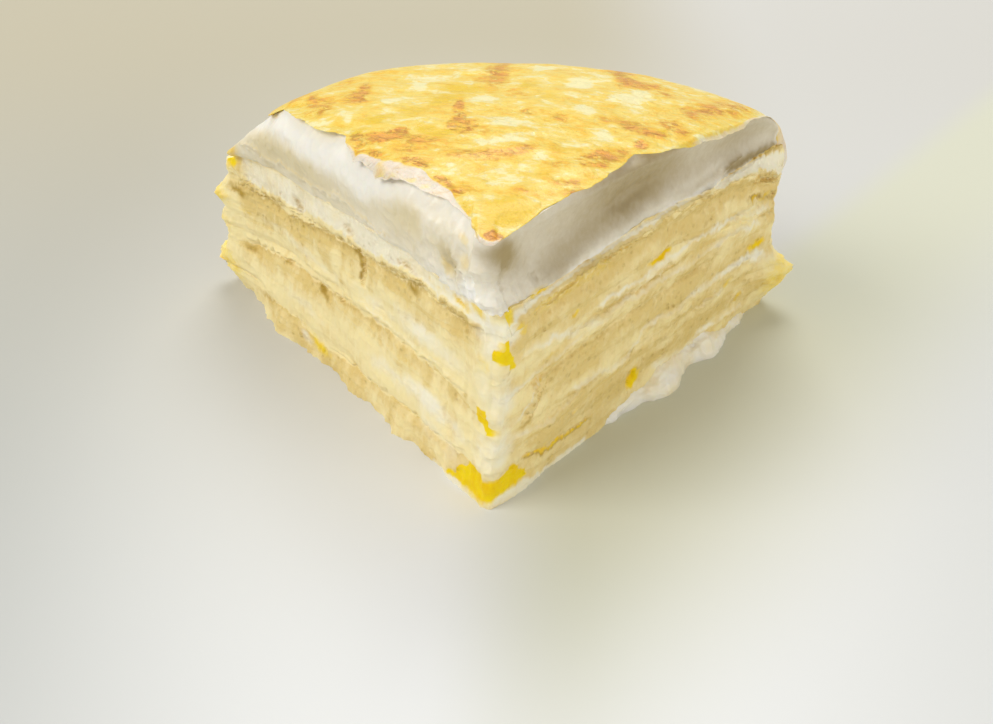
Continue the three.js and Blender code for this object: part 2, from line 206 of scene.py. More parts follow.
def walkRound(rimRadius, noseRound=wedge["noseRound"]):
    # columns round the slice from the nose up the right face, along the rim and down the left face
    left, right = wedge["leftFace"], wedge["rightFace"]
    stand, corner = wedge["noseStand"], wedge["cornerRound"]
    noseCentre = (noseRound - stand) / math.sin((left + right) / 2)
    begin = noseCentre * math.cos((left + right) / 2)
    rightNormal, leftNormal = right + math.pi / 2, 1.5 * math.pi - left
    pieces = []

    def add(x, y, nx, ny, u, onLeft, onRight):
        rows = np.broadcast_arrays(x, y, nx, ny, u, onLeft, onRight)
        pieces.append(np.array(rows, float))

    part = (np.arange(columns["nose"]) + 0.5) / columns["nose"]
    turned = mix(leftNormal, rightNormal, part)
    middle = (right - left) / 2
    add(math.sin(middle) * noseCentre + np.sin(turned) * noseRound,
        math.cos(middle) * noseCentre + np.cos(turned) * noseRound,
        np.sin(turned), np.cos(turned), 0, 1 - part, part)
    for face, normal, t in ((right, rightNormal, 1.0), (-left, leftNormal, 0.0)):
        across = np.array([math.sin(normal), math.cos(normal)])
        along = np.array([math.sin(face), math.cos(face)])
        radius = float(rimRadius(np.array(t)))
        u = mix(begin, radius - corner, np.arange(columns["face"] + 1) / columns["face"])
        flat = (*(along[:, None] * u + across[:, None] * stand), *across, u, 1 - t, t)
        part = np.arange(1, columns["corner"] + 1) / (columns["corner"] + 1)
        turn = across[:, None] * (1 - part) + along[:, None] * part
        turn = turn / np.hypot(*turn)
        centre = (along * (radius - corner) + across * (stand - corner))[:, None]
        bend = (*(centre + turn * corner), *turn, radius, (1 - t) * (1 - part), t * (1 - part))
        if t == 1:
            add(*flat)
            add(*bend)
            edge = corner / wedge["heightRadius"]
            angle = mix(right - edge, edge - left, np.arange(columns["rim"] + 1) / columns["rim"])
            r = rimRadius(np.clip((angle + left) / (left + right), 0, 1))
            sine, cosine = np.sin(angle), np.cos(angle)
            add(sine * r, cosine * r, sine, cosine, wedge["heightRadius"], 0, 0)
        else:
            add(*(np.flip(np.broadcast_to(v, part.shape)) for v in bend))
            add(*(np.flip(np.broadcast_to(v, u.shape)) for v in flat))
    x, y, nx, ny, u, onLeft, onRight = np.concatenate(pieces, axis=1)
    t = np.clip((np.arctan2(x, y) + left) / (left + right), 0, 1)
    return {"x": x, "y": y + wedge["noseY"], "nx": nx, "ny": ny, "u": u, "t": t,
            "left": onLeft, "right": onRight, "rim": 1 - onLeft - onRight}


def spreadOut(walk, height):
    # how far the lower layers spread out on the left face, with lumps along its foot
    splay, x, y, u = wedge["splay"], walk["x"], walk["y"], walk["u"]
    swell = splay["swell"] * bump(u, splay["swellAt"], splay["swellWidth"])
    lumpy = roughen(splay["lumps"], x, y, 0)
    drips = splay["drips"] * lumpy * np.clip(1 - height / splay["dripHeight"], 0, 1) * ease(u, 6, 16)
    spread = splay["out"] * np.minimum(u / splay["grow"], 1) + swell + drips
    return walk["left"] * np.clip(1 - height / splay["height"], 0, 1) * spread


def pushOut(walk, out, height):
    # the walk's places moved outwards, and sideways at the leaning nose
    nearNose = np.exp(-walk["u"] / wedge["leanReach"]) * (walk["left"] + walk["right"])
    lean = np.interp(height, *wedge["lean"]) * nearNose
    return walk["x"] + walk["nx"] * out + lean, walk["y"] + walk["ny"] * out


def spill(x, y, level):
    # sideways push at the rim's corners, and how much of it is torn lobe
    push, tornLobe = 0, 0
    bodyReach, lobeReach = wedge["spillReach"]
    for corner in wedge["spills"]:
        side = math.copysign(1, corner["at"][0])
        inward = np.maximum((corner["at"][0] - x) * side, 0)
        away = np.hypot(inward, y - corner["at"][1])
        rough = 1 + roughen(wedge["spillRough"], x, y, level)
        lobe = np.interp(level, *corner["lobes"]) * bump(away, 0, lobeReach) * rough
        push = push + side * (np.interp(level, *corner["body"]) * bump(away, 0, bodyReach) + lobe)
        tornLobe = tornLobe + lobe
    return push, tornLobe


def spilled(rings):
    push, _ = spill(rings[..., 0], rings[..., 1], rings[..., 2])
    return np.stack([rings[..., 0] + push, rings[..., 1], rings[..., 2]], -1)


def radiusUnderDome(level, t):
    # how far out a layer can reach before it comes through the dome
    angle = mix(-wedge["leftFace"], wedge["rightFace"], t)
    inside, outside = np.full_like(t, 40.0), np.full_like(t, 95.0)
    for _ in range(20):
        r = (inside + outside) / 2
        x, y = np.sin(angle) * r, np.cos(angle) * r + wedge["noseY"]
        under = domeHeight(x, y) - level(x, y) > 0.5
        inside, outside = np.where(under, r, inside), np.where(under, outside, r)
    return inside


def bodyRadius(height, t):
    # the rim of the body, wider at its foot
    rim = wedge["rim"]
    flare = rim["foot"] * np.clip(1 - height / rim["footHeight"], 0, 1) ** 2
    return mix(rim["left"], rim["right"], t) + flare


# What the knife left on the two cut faces, with shade painted into its hollows: u runs from the nose along
# the face and v is the height, each where it shows from the front. A stroke is (amount, reach above, reach
# below, [(u, v), ...]), a spot is (amount, u, v, half-width, half-height), a patch is (amount, soft edge,
# [(u, lowest v, highest v), ...]).
wetLine = [(28, 41.4), (41, 41.1), (57, 39.2), (66, 38), (78, 36.2)]      # wet crinkled line on the left
ridges = {                 # cream dragged along the right face
    "upper": [(26, 31), (41, 29.9), (45, 29.7), (51, 31.2), (62, 29.7), (80, 25.6)],
    "middle": [(6, 31.6), (15, 29.8), (23, 27.8), (32, 27.8), (49, 26), (57, 25.1), (64, 25.5), (76, 23.7)],
    "short": [(3, 24.7), (11, 25.8), (20, 26.2), (28, 26.2)],
    "nose": [(6, 14.3), (10, 13.1), (14.5, 11.9), (17.6, 12.9), (20.7, 13.8)],
    "lower": [(19, 16), (26, 15), (33, 13.4), (36.5, 15.4), (39.4, 17.9), (46, 17), (56.5, 17.4), (69, 17),
              (76, 15.7)],
    "split": [(50, 15.2), (54.5, 14.4), (61, 12.3), (65, 12.5)],
    "foot": [(59, 6.2), (64, 5.1), (74, 4)],
}
leftMarks = {
    "relief": [
        (0.4, 2.4, 2.8, [(14, 52), (22, 50.6), (27, 48.5), (34, 46)]),
        (0.4, 2.2, 2.6, [(38, 46), (45, 45), (60, 43), (75, 39.5)]), (0.45, 0.5, 0.6, wetLine),
        (0.6, 0.9, 0.3, [(5, 37.6), (10, 37.4), (20, 37.4), (30, 35.8), (40, 34.6), (50, 33.7),
            (60, 31), (80, 28.6)]),
        (-0.7, 0.2, 3.0, [(8, 36), (20, 36), (30, 34), (40, 33), (50, 32), (60, 29), (80, 27)]),
        (0.3, 0.8, 0.3, [(8, 22.4), (20, 22.4), (30, 22), (40, 21.2), (50, 19.6), (60, 18), (80, 15)]),
        (-0.6, 0.3, 2.4, [(10, 21.4), (30, 21.2), (40, 20.2), (50, 18.6), (60, 17), (80, 14)]),
        (-0.5, 0.3, 2.0, [(9, 8), (20, 5.6), (30, 5), (40, 3.6), (52, 1.5)]), (-0.3, 10.3, 46, 2.6, 2.6),
        (-1.2, 38, 29.5, 0.7, 4), (-0.7, 38.6, 33.6, 2.0, 0.7), (-1.0, 59, 32.4, 2.0, 1.4),
        (-0.8, 47, 18.2, 1.0, 1.2), (-0.9, 52.8, 16.4, 1.5, 2.4), (-0.7, 80.5, 12.2, 2.4, 1.6),
        (-0.5, 13, 13, 0.8, 4), (-0.6, 67, 15.7, 1.1, 0.7), (-0.7, 9, 39.6, 1.2, 1.2),
        (-0.5, 23.5, 38.2, 2.2, 0.8), (0.6, 5, 31, 3.0, 5), (0.5, 4, 24, 2.5, 4),
        (-0.5, 33.5, 18.4, 0.8, 2.6), (-0.4, 31.8, 24.2, 2.0, 0.8), (-0.6, 40.8, 36.2, 1.4, 0.9),
    ],
    "crumb": [
        (0.8, 0.3, 5.0, [(6, 36.6), (20, 36.4), (30, 34.6), (40, 33.4), (50, 32.4), (60, 29.4),
            (80, 27.4)]),
        (0.6, 0.3, 4.4, [(7, 21.4), (30, 21), (40, 20), (50, 18.4), (60, 16.9), (80, 13.9)]),
        (0.75, 0.3, 7.0, [(7, 7.6), (20, 5.6), (30, 4.8), (40, 3.4), (50, 1.6), (60, 0), (80, -1)]),
        (0.35, 4, 4, [(50, 29), (64, 25), (80, 22)]), (0.35, 3, 3, [(56, 13), (70, 11.5), (84, 9)]),
        (0.25, 0.8, 0.8, [(28, 40.4), (50, 39.2), (60, 37.8), (80, 35.4)]),
        (0.4, 2, 2, [(66, 29), (84, 26)]), (0.6, 10.5, 45.8, 3.0, 2.6), (0.6, 32, 54.2, 4.5, 1.6),
        (0.3, 5, 41, 3, 5), (0.4, 22, 41, 5, 3),
        (0.55, 6, 0.4, [(26, 37.4), (40, 35.6), (50, 34.6), (60, 32), (85, 29)]),
    ],
    "yolk": [
        (1.2, 0.3, [(-4, 33.0, 34.6), (0.2, 33.2, 35.0), (0.5, 33.6, 34.6)]),
        (0.3, 0.8, [(-3, -2, 1.2), (4, -2, 1.1), (9, -1.6, 0.6)]),
        (1.2, 0.35, [(-1.5, 18.2, 19.8), (0.8, 17.2, 18.9), (1.2, 18, 20.4), (2.3, 18.8, 21.7),
            (4, 19, 21.3), (4.9, 20.4, 20.8)]),
        (1.1, 0.6, [(-4, 2.2, 6.4), (0.5, 1.9, 6.6), (2.2, 1.8, 6.7), (4.2, 1.6, 7.5), (6.2, 1.2, 7.8),
            (7.6, 1.0, 5.6), (10, 0.6, 3.4), (12.6, -0.2, 0.6)]),
        (0.45, 1.1, [(-4, 0.6, 5), (4, 0.2, 5), (9, -0.4, 2.4), (13, -0.6, 0.6)]), (0.6, 12, 44, 2.6, 1.7),
        (0.6, 3.8, 41, 2.2, 2.0), (0.6, 8.6, 39.4, 2.2, 1.5), (0.55, 5.8, 48.5, 2.2, 2.0),
        (0.6, 5.7, 53, 2.0, 1.8), (0.35, 14.4, 39, 3, 1.6), (0.4, 3.4, 30.5, 2.6, 2.2),
        (0.3, 24, 34.8, 2.4, 1.2), (0.3, 58.5, 28.6, 3.5, 1.2), (0.8, 86, 31, 3.4, 2.6),
        (0.7, 58, -0.5, 5, 2.2), (0.25, 25, 17.6, 9, 1.6), (0.3, 38, 26.4, 1.0, 1.6),
        (0.22, 42, 13.5, 7, 1.6), (0.3, 80, 21.2, 3, 0.7), (0.5, 0.5, 0.6, wetLine), (0.5, 84, 33, 3, 2.4),
    ],
    # olive stains, and painted shade in the pits and cracks, under the ledges and in the recess under the
    # top crepe's tip
    "brown": [
        (0.5, 10.3, 46, 3.0, 2.6), (0.55, 59, 32.6, 1.8, 1.1), (0.45, 82, 26.3, 2.6, 1.2),
        (0.5, 46.6, 18.3, 1.0, 1.1), (0.8, 52.8, 16.6, 1.2, 2.4), (0.6, 80.5, 12.2, 2.6, 1.6),
        (0.5, 32, 54.4, 4.0, 1.2), (0.9, 38, 30, 0.7, 3.8), (0.5, 38.8, 33.7, 1.8, 0.6),
        (0.4, 67, 15.7, 1.0, 0.7), (0.5, 66, -2.6, 3.0, 0.8), (0.5, 80, -0.6, 4, 1.2),
        (0.45, 0.3, 1.2, [(38, 33.6), (50, 32.2), (60, 29.4), (64, 28)]),
        (0.3, 0.3, 0.9, [(6, 36.8), (20, 36.4), (38, 33.8)]),
        (0.4, 0.4, 1.2, [(68, 29.2), (78, 27.4), (84, 25.6)]),
        (0.3, 0.3, 1.0, [(30, 21), (48, 18.8), (62, 16.8), (80, 13.8)]), (0.55, 9, 39.8, 1.0, 1.0),
        (0.6, 23.7, 38.2, 2.2, 0.7), (0.6, 21, 35.4, 1.7, 1.4), (0.45, 40.8, 36.3, 1.1, 1.0),
        (0.13, 6.0, 0.3, [(16, 37.8), (20, 37.8), (30, 36.3), (40, 35.1), (50, 34.2), (60, 31.6),
            (80, 29.2)]),
        (0.3, 1, 52.4, 2.4, 2.0), (0.3, 33.5, 18.4, 0.8, 2.4), (0.3, 15, 20, 1.4, 1.4),
        (0.25, 13, 13, 0.8, 4), (0.3, 7, 35.4, 1.2, 1.4),
    ],
    "milk": [
        (0.85, 8.0, 0.5, [(5, 38), (10, 37.9), (20, 37.8), (30, 36.3), (40, 35.1), (50, 34.2),
            (60, 31.6), (80, 29.2)]),
        (0.6, 0.5, 12.5, 5, 5.5), (0.5, 1.5, 27, 5, 8), (0.6, 0, 37, 7, 3.4), (1.0, 3.0, 43, 3.4, 4.6),
        (0.4, 16, 9, 10, 7), (0.5, 20, 12.4, 14, 2.4), (0.6, 20, 26.4, 13, 3.0), (0.45, 60, 22.5, 16, 1.6),
        (0.4, 36, 24, 6, 2.4), (0.4, 34, 10, 8, 2.2), (0.4, 62, 7, 8, 1.8),
        (0.4, 0.4, 0.4, [(7, 22.5), (20, 22.6), (40, 21.4)]), (0.7, 64.5, -2, 2.4, 2.0),
        (0.8, 0.6, [(-4, -4, 0.8), (2, -4, 0.7), (6, -3, 0.5), (10, -3, 0.1), (18, -3, -0.8)]),
    ],
}
rightMarks = {
    "relief": [
        (0.8, 1.1, 0.35, [(0, 38), (10, 39.3), (20, 40), (30, 40.5), (40, 41), (50, 39.8), (60, 38.8),
            (70, 37.2), (80, 33)]),
        (-0.6, 0.8, 1.4, [(9.5, 36.5), (10.5, 36.6), (30, 37.6), (40, 38), (50, 36.7), (60, 35.7),
            (70, 34.2), (78, 30.8)]),
        (0.8, 1.2, 1.2, [(52, 40.4), (56, 42.4), (59, 43.4), (62, 44.6)]),
        (-0.35, 1.4, 0.6, [(59, 41.6), (63, 41.5), (70, 41.2), (76, 39.6)]),
        (-0.8, 0.5, 0.5, [(71, 35.6), (76, 34), (81, 31.6)]), (0.6, 0.7, 0.7, [(75, 33.6), (81, 31)]),
        (-0.8, 30, 51, 7, 2.2), (-0.6, 10.2, 23.8, 1.2, 1.2), (-0.5, 17.8, 32.8, 0.9, 0.8),
        (-0.8, 41, 32.6, 2.8, 0.9), (-0.4, 56, 33.4, 2, 0.9), (-1.1, 36.8, 7.5, 2.0, 1.9),
        (-0.6, 20.7, 10.2, 0.8, 0.8), (-0.8, 70.7, 8, 1.2, 1.0), (-0.35, 22, 22.5, 0.5, 0.5),
        (-0.35, 24.5, 22.8, 0.5, 0.4), (-0.35, 27, 22.6, 0.5, 0.5), (-0.4, 31.5, 22.8, 1.2, 0.6),
        (0.6, 7, 19.5, 1.2, 0.8), (-0.5, 9.2, 21.2, 0.9, 0.7), (-0.5, 66.5, 13.4, 1.6, 1),
        (-0.6, 0.4, 0.4, [(8, 8.2), (12, 6.6), (20, 5.6), (24, 6)]),
        (-0.06, 0.25, 0.25, [(7, 47.5), (8.4, 44.4)]),
        (-0.4, 0.5, 0.6, [(18, 28.6), (36, 29.2), (60, 28.4), (80, 25)]),
        (-0.6, 0.6, 1.0, [(69, 32.6), (74, 30.6), (82, 27)]), (0.5, 0.9, 0.8, ridges["upper"]),
        (0.5, 0.9, 0.8, ridges["middle"]), (0.4, 0.6, 0.6, ridges["short"]),
        (-0.5, 0.5, 0.9, [(8, 23.4), (18, 24.4), (30, 24.6), (56, 23)]), (0.5, 0.9, 0.8, ridges["lower"]),
        (0.45, 0.8, 0.7, ridges["split"]), (0.4, 0.8, 0.7, ridges["foot"]), (0.5, 0.8, 0.7, ridges["nose"]),
        (-0.5, 74, 18.8, 3.2, 1.0), (0.8, 0.5, 0.8, [(6, 18.4), (8.7, 21.2), (10.6, 23.2), (12, 24)]),
        (-0.7, 0.5, 0.8, [(8, 16.8), (10.4, 19.6), (12.4, 22)]),
    ],
    "crumb": [
        (0.2, 2.5, 0.8, [(0, 39.4), (10, 40.8), (20, 41.4), (40, 42), (56, 41)]),
        (0.5, 0.4, 4.4, [(3, 37), (10, 38), (30, 39), (40, 39.4), (50, 38.2), (60, 37.2), (70, 35.7),
            (80, 31.4)]),
        (0.5, 3.6, 4.0, [(12, 21.5), (40, 21), (80, 18.5)]),
        (0.4, 3.6, 3.4, [(10, 8.6), (40, 8.6), (80, 8)]),
    ],
    "yolk": [
        (1.2, 0.3, [(-3, 33.0, 35.4), (0.4, 32.6, 37.0), (1.0, 32.0, 35.8), (2.0, 31.0, 33.7),
            (2.8, 30.6, 32.4), (3.8, 30.6, 31.2)]),
        (1.1, 0.6, [(-4, 3.6, 6.4), (0, 3.4, 7), (1.2, 3.3, 6.9), (2.7, 3.1, 7.4), (4.1, 3.0, 8.4),
            (5.2, 3.1, 8.3), (6.2, 3.2, 6.6), (7.9, 3.2, 5.2)]),
        (0.45, 1.1, [(-4, 2.0, 5), (4, 1.8, 5), (8.4, 2.4, 4)]), (0.5, 5, 37.2, 1.4, 1.0),
        (0.5, 10.2, 23.8, 1.4, 1.2), (0.7, 17.8, 32.8, 1.1, 0.8), (1.1, 41, 32.6, 3.3, 1.0),
        (1.15, 36.8, 7.6, 2.4, 2.2), (0.4, 20.7, 10.2, 0.9, 0.9), (0.6, 71.7, 31.4, 1.5, 0.9),
        (0.5, 76, 29.6, 3.4, 0.8), (0.5, 66.5, 13.4, 1.8, 1.2), (0.6, 70.7, 8, 1.3, 1.1),
        (0.85, 49.4, 1.6, 3.2, 2.2), (0.3, 66, 3, 8, 2.0),
        (0.75, 0.5, 0.8, [(8, 8.4), (13.4, 6.4), (20, 5.4), (24, 6)]), (0.75, 9, 41.8, 1.8, 1.2),
        (0.35, 18, 42.5, 1.4, 0.9), (0.8, 2.4, 40.9, 1.5, 1.8), (0.85, 75, 18.8, 3.4, 1.2),
        (0.4, 0.5, 0.8, [(9, 38.2), (20, 38.8), (26, 39)]), (0.35, 13, 27.4, 1.2, 0.7),
    ],
    # olive stains, and painted shade in the grooves and pits, in the slot at the rim, under the lip, above
    # its band at the rim and under the top crepe's tip
    "brown": [
        (0.45, 1.6, 52, 2.8, 2.2), (0.5, 1.0, 30.4, 1.6, 0.8), (0.5, 9.2, 21, 0.7, 0.6),
        (0.15, 0.25, 0.25, [(7, 47.5), (8.4, 44.4)]),
        (0.3, 0.3, 0.7, [(12, 38.2), (20, 38.9), (30, 39.3), (40, 39.5), (50, 38.3), (60, 37.3),
            (70, 35.8)]),
        (0.35, 0.6, 0.7, [(26, 29.4), (38, 28.8), (50, 28.6)]),
        (0.6, 0.5, 0.8, [(7.4, 16.4), (10.4, 19.6), (12.4, 22)]),
        (0.35, 0.6, 0.9, [(8, 23.8), (20, 24.6), (36, 24.8), (60, 23.2)]),
        (0.25, 0.6, 0.6, [(12, 14.2), (40, 14.2), (70, 14)]),
        (0.25, 0.9, 2.0, [(20, 9.4), (50, 9.4), (80, 8.4)]),
        (0.6, 1.8, 0.6, [(60, 41.7), (64, 41.6), (71, 41.3), (78, 39.4)]),
        (0.8, 0.5, 0.8, [(69.6, 32.4), (72, 31.6)]), (0.5, 0.6, 0.9, [(72, 31.4), (76, 29.6), (83, 26.6)]),
        (0.5, 0.5, 0.5, [(71, 35.4), (76, 33.8), (81, 31.4)]), (0.4, 22, 22.5, 0.5, 0.5),
        (0.4, 24.5, 22.8, 0.4, 0.4), (0.4, 27, 22.6, 0.5, 0.5), (0.4, 31.5, 22.8, 1.3, 0.7),
        (0.4, 36.8, 6.6, 1.6, 0.8), (0.8, 0.5, 0.6, [(8, 7.8), (12, 6.2), (20, 5.0), (24, 5.6)]),
        (0.4, 55, 33, 1.8, 0.7), (0.3, 58, 21.5, 1.4, 1.2), (0.35, 45.4, 12.2, 1.2, 0.7),
        (0.3, 21, 36.8, 1.0, 0.6), (0.35, 26, 34.6, 0.5, 0.7), (0.35, 29.6, 32.6, 0.6, 0.5),
        (0.4, 73, 11, 2.2, 0.8), (0.35, 50, 18.8, 0.8, 1.0),
    ],
    "milk": [
        (1.0, 1.8, 0.7, [(0, 39), (10, 40.4), (20, 41), (30, 41.4), (40, 41.6), (50, 40.6), (56, 39.9)]),
        (0.95, 0.5, [(56, 38.7, 40.9), (60, 38, 40.8), (66, 37.2, 40.7), (72, 36.4, 40.4),
            (76, 34.4, 39.3), (80, 32.6, 38), (86, 31.5, 36.5)]),
        (0.35, 0.5, 0.5, [(12, 30.6), (50, 30.8), (80, 29)]), (0.5, 1.2, 1.0, ridges["upper"]),
        (0.55, 1.3, 1.0, ridges["middle"]), (0.45, 0.9, 0.7, ridges["short"]),
        (0.45, 1.0, 0.8, ridges["nose"]), (0.5, 1.3, 1.0, ridges["lower"]),
        (0.45, 1.0, 0.8, ridges["split"]), (0.45, 1.0, 0.8, ridges["foot"]),
        (0.7, 0.5, 0.7, [(6, 18.4), (8.7, 21.2), (11, 23.6)]), (0.75, 0, 25, 4, 8),
        (0.75, 0.5, 12.5, 4, 5.5), (0.8, 0.4, 45.4, 1.6, 3.0), (0.9, 2.2, 37, 2.6, 2.0),
        (0.5, 1.4, 1.0, [(44, 5.8), (54, 4.2), (62, 5)]),
        (0.5, 1.4, 1.4, [(66, 17.4), (74, 16.4), (80, 14)]),
        (0.8, 0.6, [(-4, -4, 3.2), (4, -4, 2.6), (8, -4, 2.4), (14, -3, 1.6), (24, -3, 0.8)]),
    ],
}


shift = {"along": 2.1, "down": 1.93}      # of what stands 1 mm out of a face, as it shows from the front


def seenAt(u, v, out):
    return u + shift["along"] * out, v - shift["down"] * out


def drawMarks(marks, u, v):
    total = np.zeros(np.broadcast(u, v).shape)
    for mark in marks:
        if len(mark) == 3:
            amount, soft, line = mark
            us, lows, highs = zip(*line)
            low, high = np.interp(u, us, lows), np.interp(u, us, highs)
            ends = ease(u, us[0] - soft, us[0] + soft) * (1 - ease(u, us[-1] - soft, us[-1] + soft))
            between = ease(v, low - soft, low + soft) * (1 - ease(v, high - soft, high + soft))
            total += amount * ends * between
        elif isinstance(mark[3], list):
            amount, above, below, line = mark
            us, vs = zip(*line)
            off = v - np.interp(u, us, vs)
            ends = ease(u, us[0] - 3, us[0] + 1) * (1 - ease(u, us[-1] - 1, us[-1] + 3))
            total += amount * ends * np.exp(-(off / np.where(off > 0, above, below)) ** 2)
        else:
            amount, middleU, middleV, halfU, halfV = mark
            away = ((u - middleU) / halfU) ** 2 + ((v - middleV) / halfV) ** 2
            total += amount * np.exp(-away ** 1.5)
    return total


def faceMark(name, walk, u, v):
    # a mark on both faces, each where its face is
    total = 0
    for share, marks in ((walk["left"], leftMarks), (walk["right"], rightMarks)):
        total = total + share * drawMarks(marks[name], u, v)
    return total


markNames = ("crumb", "yolk", "brown", "milk")       # painted on every piece for its material


def wrapSheet(name, rings, marks):
    # a grid wrapped round the slice: its long way is the walk, its short way the rings from pole to pole
    count, ringCount = rings.shape[1], rings.shape[0]
    bpy.ops.object.select_all(action="DESELECT")
    bpy.ops.mesh.primitive_grid_add(x_subdivisions=count, y_subdivisions=ringCount - 1, size=1)
    sheet = bpy.context.object
    sheet.name = name
    mesh = sheet.data
    mesh.name = name
    flat = np.zeros(len(mesh.vertices) * 3)
    mesh.vertices.foreach_get("co", flat)
    flat = flat.reshape(-1, 3)
    across = np.rint((flat[:, 0] + 0.5) * count).astype(int) % count
    up = np.rint((flat[:, 1] + 0.5) * (ringCount - 1)).astype(int)
    mesh.vertices.foreach_set("co", (rings[up, across] * 0.001).ravel())
    for key in markNames:
        attribute = mesh.attributes.new(key, "FLOAT", "POINT")
        attribute.data.foreach_set("value", np.clip(marks[key][up, across], 0, 1))
    mesh.update()
    bpy.ops.object.mode_set(mode="EDIT")
    bpy.ops.mesh.select_all(action="SELECT")
    bpy.ops.mesh.remove_doubles(threshold=1e-6)
    bpy.ops.mesh.normals_make_consistent(inside=False)
    bpy.ops.object.mode_set(mode="OBJECT")
    bpy.ops.object.shade_smooth_by_angle(angle=math.radians(58))
    return sheet


def towardsHub(x, y, scale):
    # drawn in towards the middle of the slice
    return x * scale, mix(wedge["hubY"], y, scale)


def tongueReach(i, t):
    # how far the torn tongues of a crepe stand out of the rim
    return sum(length * bump(t, at, width) for crepe, at, width, length, droop in tongues if crepe == i)


def tongueDroop(i, x, y):
    # how far the tongues hang down, growing with how far they stand out of the slice
    r, t = polar(x, y)
    left, right = wedge["leftFace"], wedge["rightFace"]
    depth = y - wedge["noseY"]
    besideLeft = -x * math.cos(left) - depth * math.sin(left)
    besideRight = x * math.cos(right) - depth * math.sin(right)
    beside = np.maximum(besideLeft, besideRight)
    beyond = r - mix(wedge["rim"]["left"], wedge["rim"]["right"], t)
    outside = np.hypot(np.maximum(beside, 0), np.maximum(beyond, 0)) * ease(r, 74, 80)
    return sum(droop * np.clip(outside / length, 0, 1.3) ** 1.5 * bump(t, at, 2 * width)
               for crepe, at, width, length, droop in tongues if crepe == i)


# the crepes and creams under the top crepe
layerLook = {
    "rows": {"crepe": 6, "cream": 14}, "soft": 0.45, "flush": 0.6, "noseStand": 0.1,
    "topStand": (0.6, 0.5, -0.4), "rimCrumb": {"crepe": 0.8, "cream": 0.2},
    "crumb": {"crepe": (0.2, 0.6), "cream": (0.04, 0.42)},      # on the left and right cut face
    "shelf": (0.25, 0.7, 1.5, 3.0, 6.0), "inner": (0.7, 0.35),
    "tongueLeft": (81, 88), "tongueRight": (77, 82.5), "tongueYolk": 0.5,      # torn ends of the faces
    "lumps": ((cloud, 0.28, 7, 9, 1), (cloud, 0.2, 3.2, 10, 1)),
    "crumbs": ((torn, 0.13, 1.9, 12, 1), (torn, 0.09, 0.9, 13, 0.7)),
    "drag": ((cloud, 0.09, 0.8, 34, 0.2),),
    "curds": ((torn, 0.32, 2.6, 39, 0.6),),
    "drip": ((cloud, 0.3, 2.0, 40, 0.2), (cloud, 0.15, 0.9, 41, 0.3)),
    "ragged": ((cloud, 0.7, 4, 16, 1), (torn, 0.4, 1.6, 17, 1)),
    "warpAlong": ((cloud, 0.9, 2.2, 5, 1), (cloud, 0.4, 0.8, 6, 1)),
    "warpUp": ((cloud, 0.6, 2.0, 7, 1), (cloud, 0.3, 0.8, 8, 1)),
    "jag": ((torn, 0.35, 1.7, 35, 1), (torn, 0.2, 0.8, 46, 1)),
}


def rimCalm(walk):
    # the rim's layers are even at its corners and ragged between them
    return 1 - 0.8 * (bump(walk["t"], 0, 0.09) + bump(walk["t"], 1, 0.09))


def standOf(i, kind, walk):
    # how far a layer's edge stands out of the slice
    stand = stack[i][3 if kind == "crepe" else 4] if i > 1 else layerLook["topStand"]
    wave = 0.2 * np.sin(walk["u"] * 0.31 + (i if kind == "crepe" else i + 9) * 2.3)
    calm = mix(layerLook["noseStand"], 1, ease(walk["u"], 2, 12))
    left, right = (calm * (layerLook["flush"] * amount + wave) for amount in stand[:2])
    return walk["left"] * left + walk["right"] * right + walk["rim"] * stand[2] * rimCalm(walk)


def crumble(walk, level):
    # uneven surface of the cut faces, from broad lumps down to crumbs and the upright drag of the knife
    place = walk["x"], walk["y"], level
    lumps = roughen(layerLook["lumps"], *place)
    crumbs = roughen(layerLook["crumbs"], *place)
    drag = roughen(layerLook["drag"], *place) * (walk["left"] + 0.4 * walk["right"])
    curds = roughen(layerLook["curds"], *place) * bump(walk["u"], 0, 9)
    return lumps + curds + (crumbs + drag) * (1 - 0.4 * walk["rim"])


def markPlace(walk, level, out, share=1):
    # the relief of a wall, and where the other marks lie on it: warped, so that their edges are torn
    u, v = seenAt(walk["u"], level, out)
    place = walk["x"], walk["y"], level
    calm = mix(0.45, 1, ease(walk["u"], 2, 9))
    upFace = roughen(layerLook["warpUp"], *place) + roughen(layerLook["jag"], u, 0, 0)
    u, v = u + calm * roughen(layerLook["warpAlong"], *place), v + calm * upFace
    relief = faceMark("relief", walk, u, v) * share
    return relief, *seenAt(u, v, relief)


def layerWall(walk, low, high, rows, outOf, roughOf, paint, atNose=1):
    # the visible edge of a layer, row by row from its lower joint to its upper one
    points, shades = [], {key: [] for key in markNames}
    for w in np.arange(rows + 1) / rows:
        level = mix(low(walk["x"], walk["y"]), high(walk["x"], walk["y"]), w)
        out = outOf(w, level)
        relief, u, v = markPlace(walk, level, out, np.where(walk["u"] > 0, 1, atNose))
        x, y = pushOut(walk, out + relief + roughOf(w, level), level)
        points.append(np.stack([x, y, mix(low(x, y), high(x, y), w)], -1))
        found = {key: faceMark(key, walk, u, v) for key in markNames}
        paint(found, u, v, level)
        for key in markNames:
            shades[key].append(np.broadcast_to(found[key], walk["u"].shape))
    return points, shades


def capRings(ring, height, insets, scales):
    # rings from a wall's edge inwards over a layer's upper or lower face
    found = []
    span = np.hypot(ring[:, 0], ring[:, 1] - wedge["hubY"])
    for scale in (*(1 - inset / span for inset in insets), *scales, 0.0):
        x, y = towardsHub(ring[:, 0], ring[:, 1], scale)
        found.append(np.stack([x, y, height(x, y)], -1))
    return found


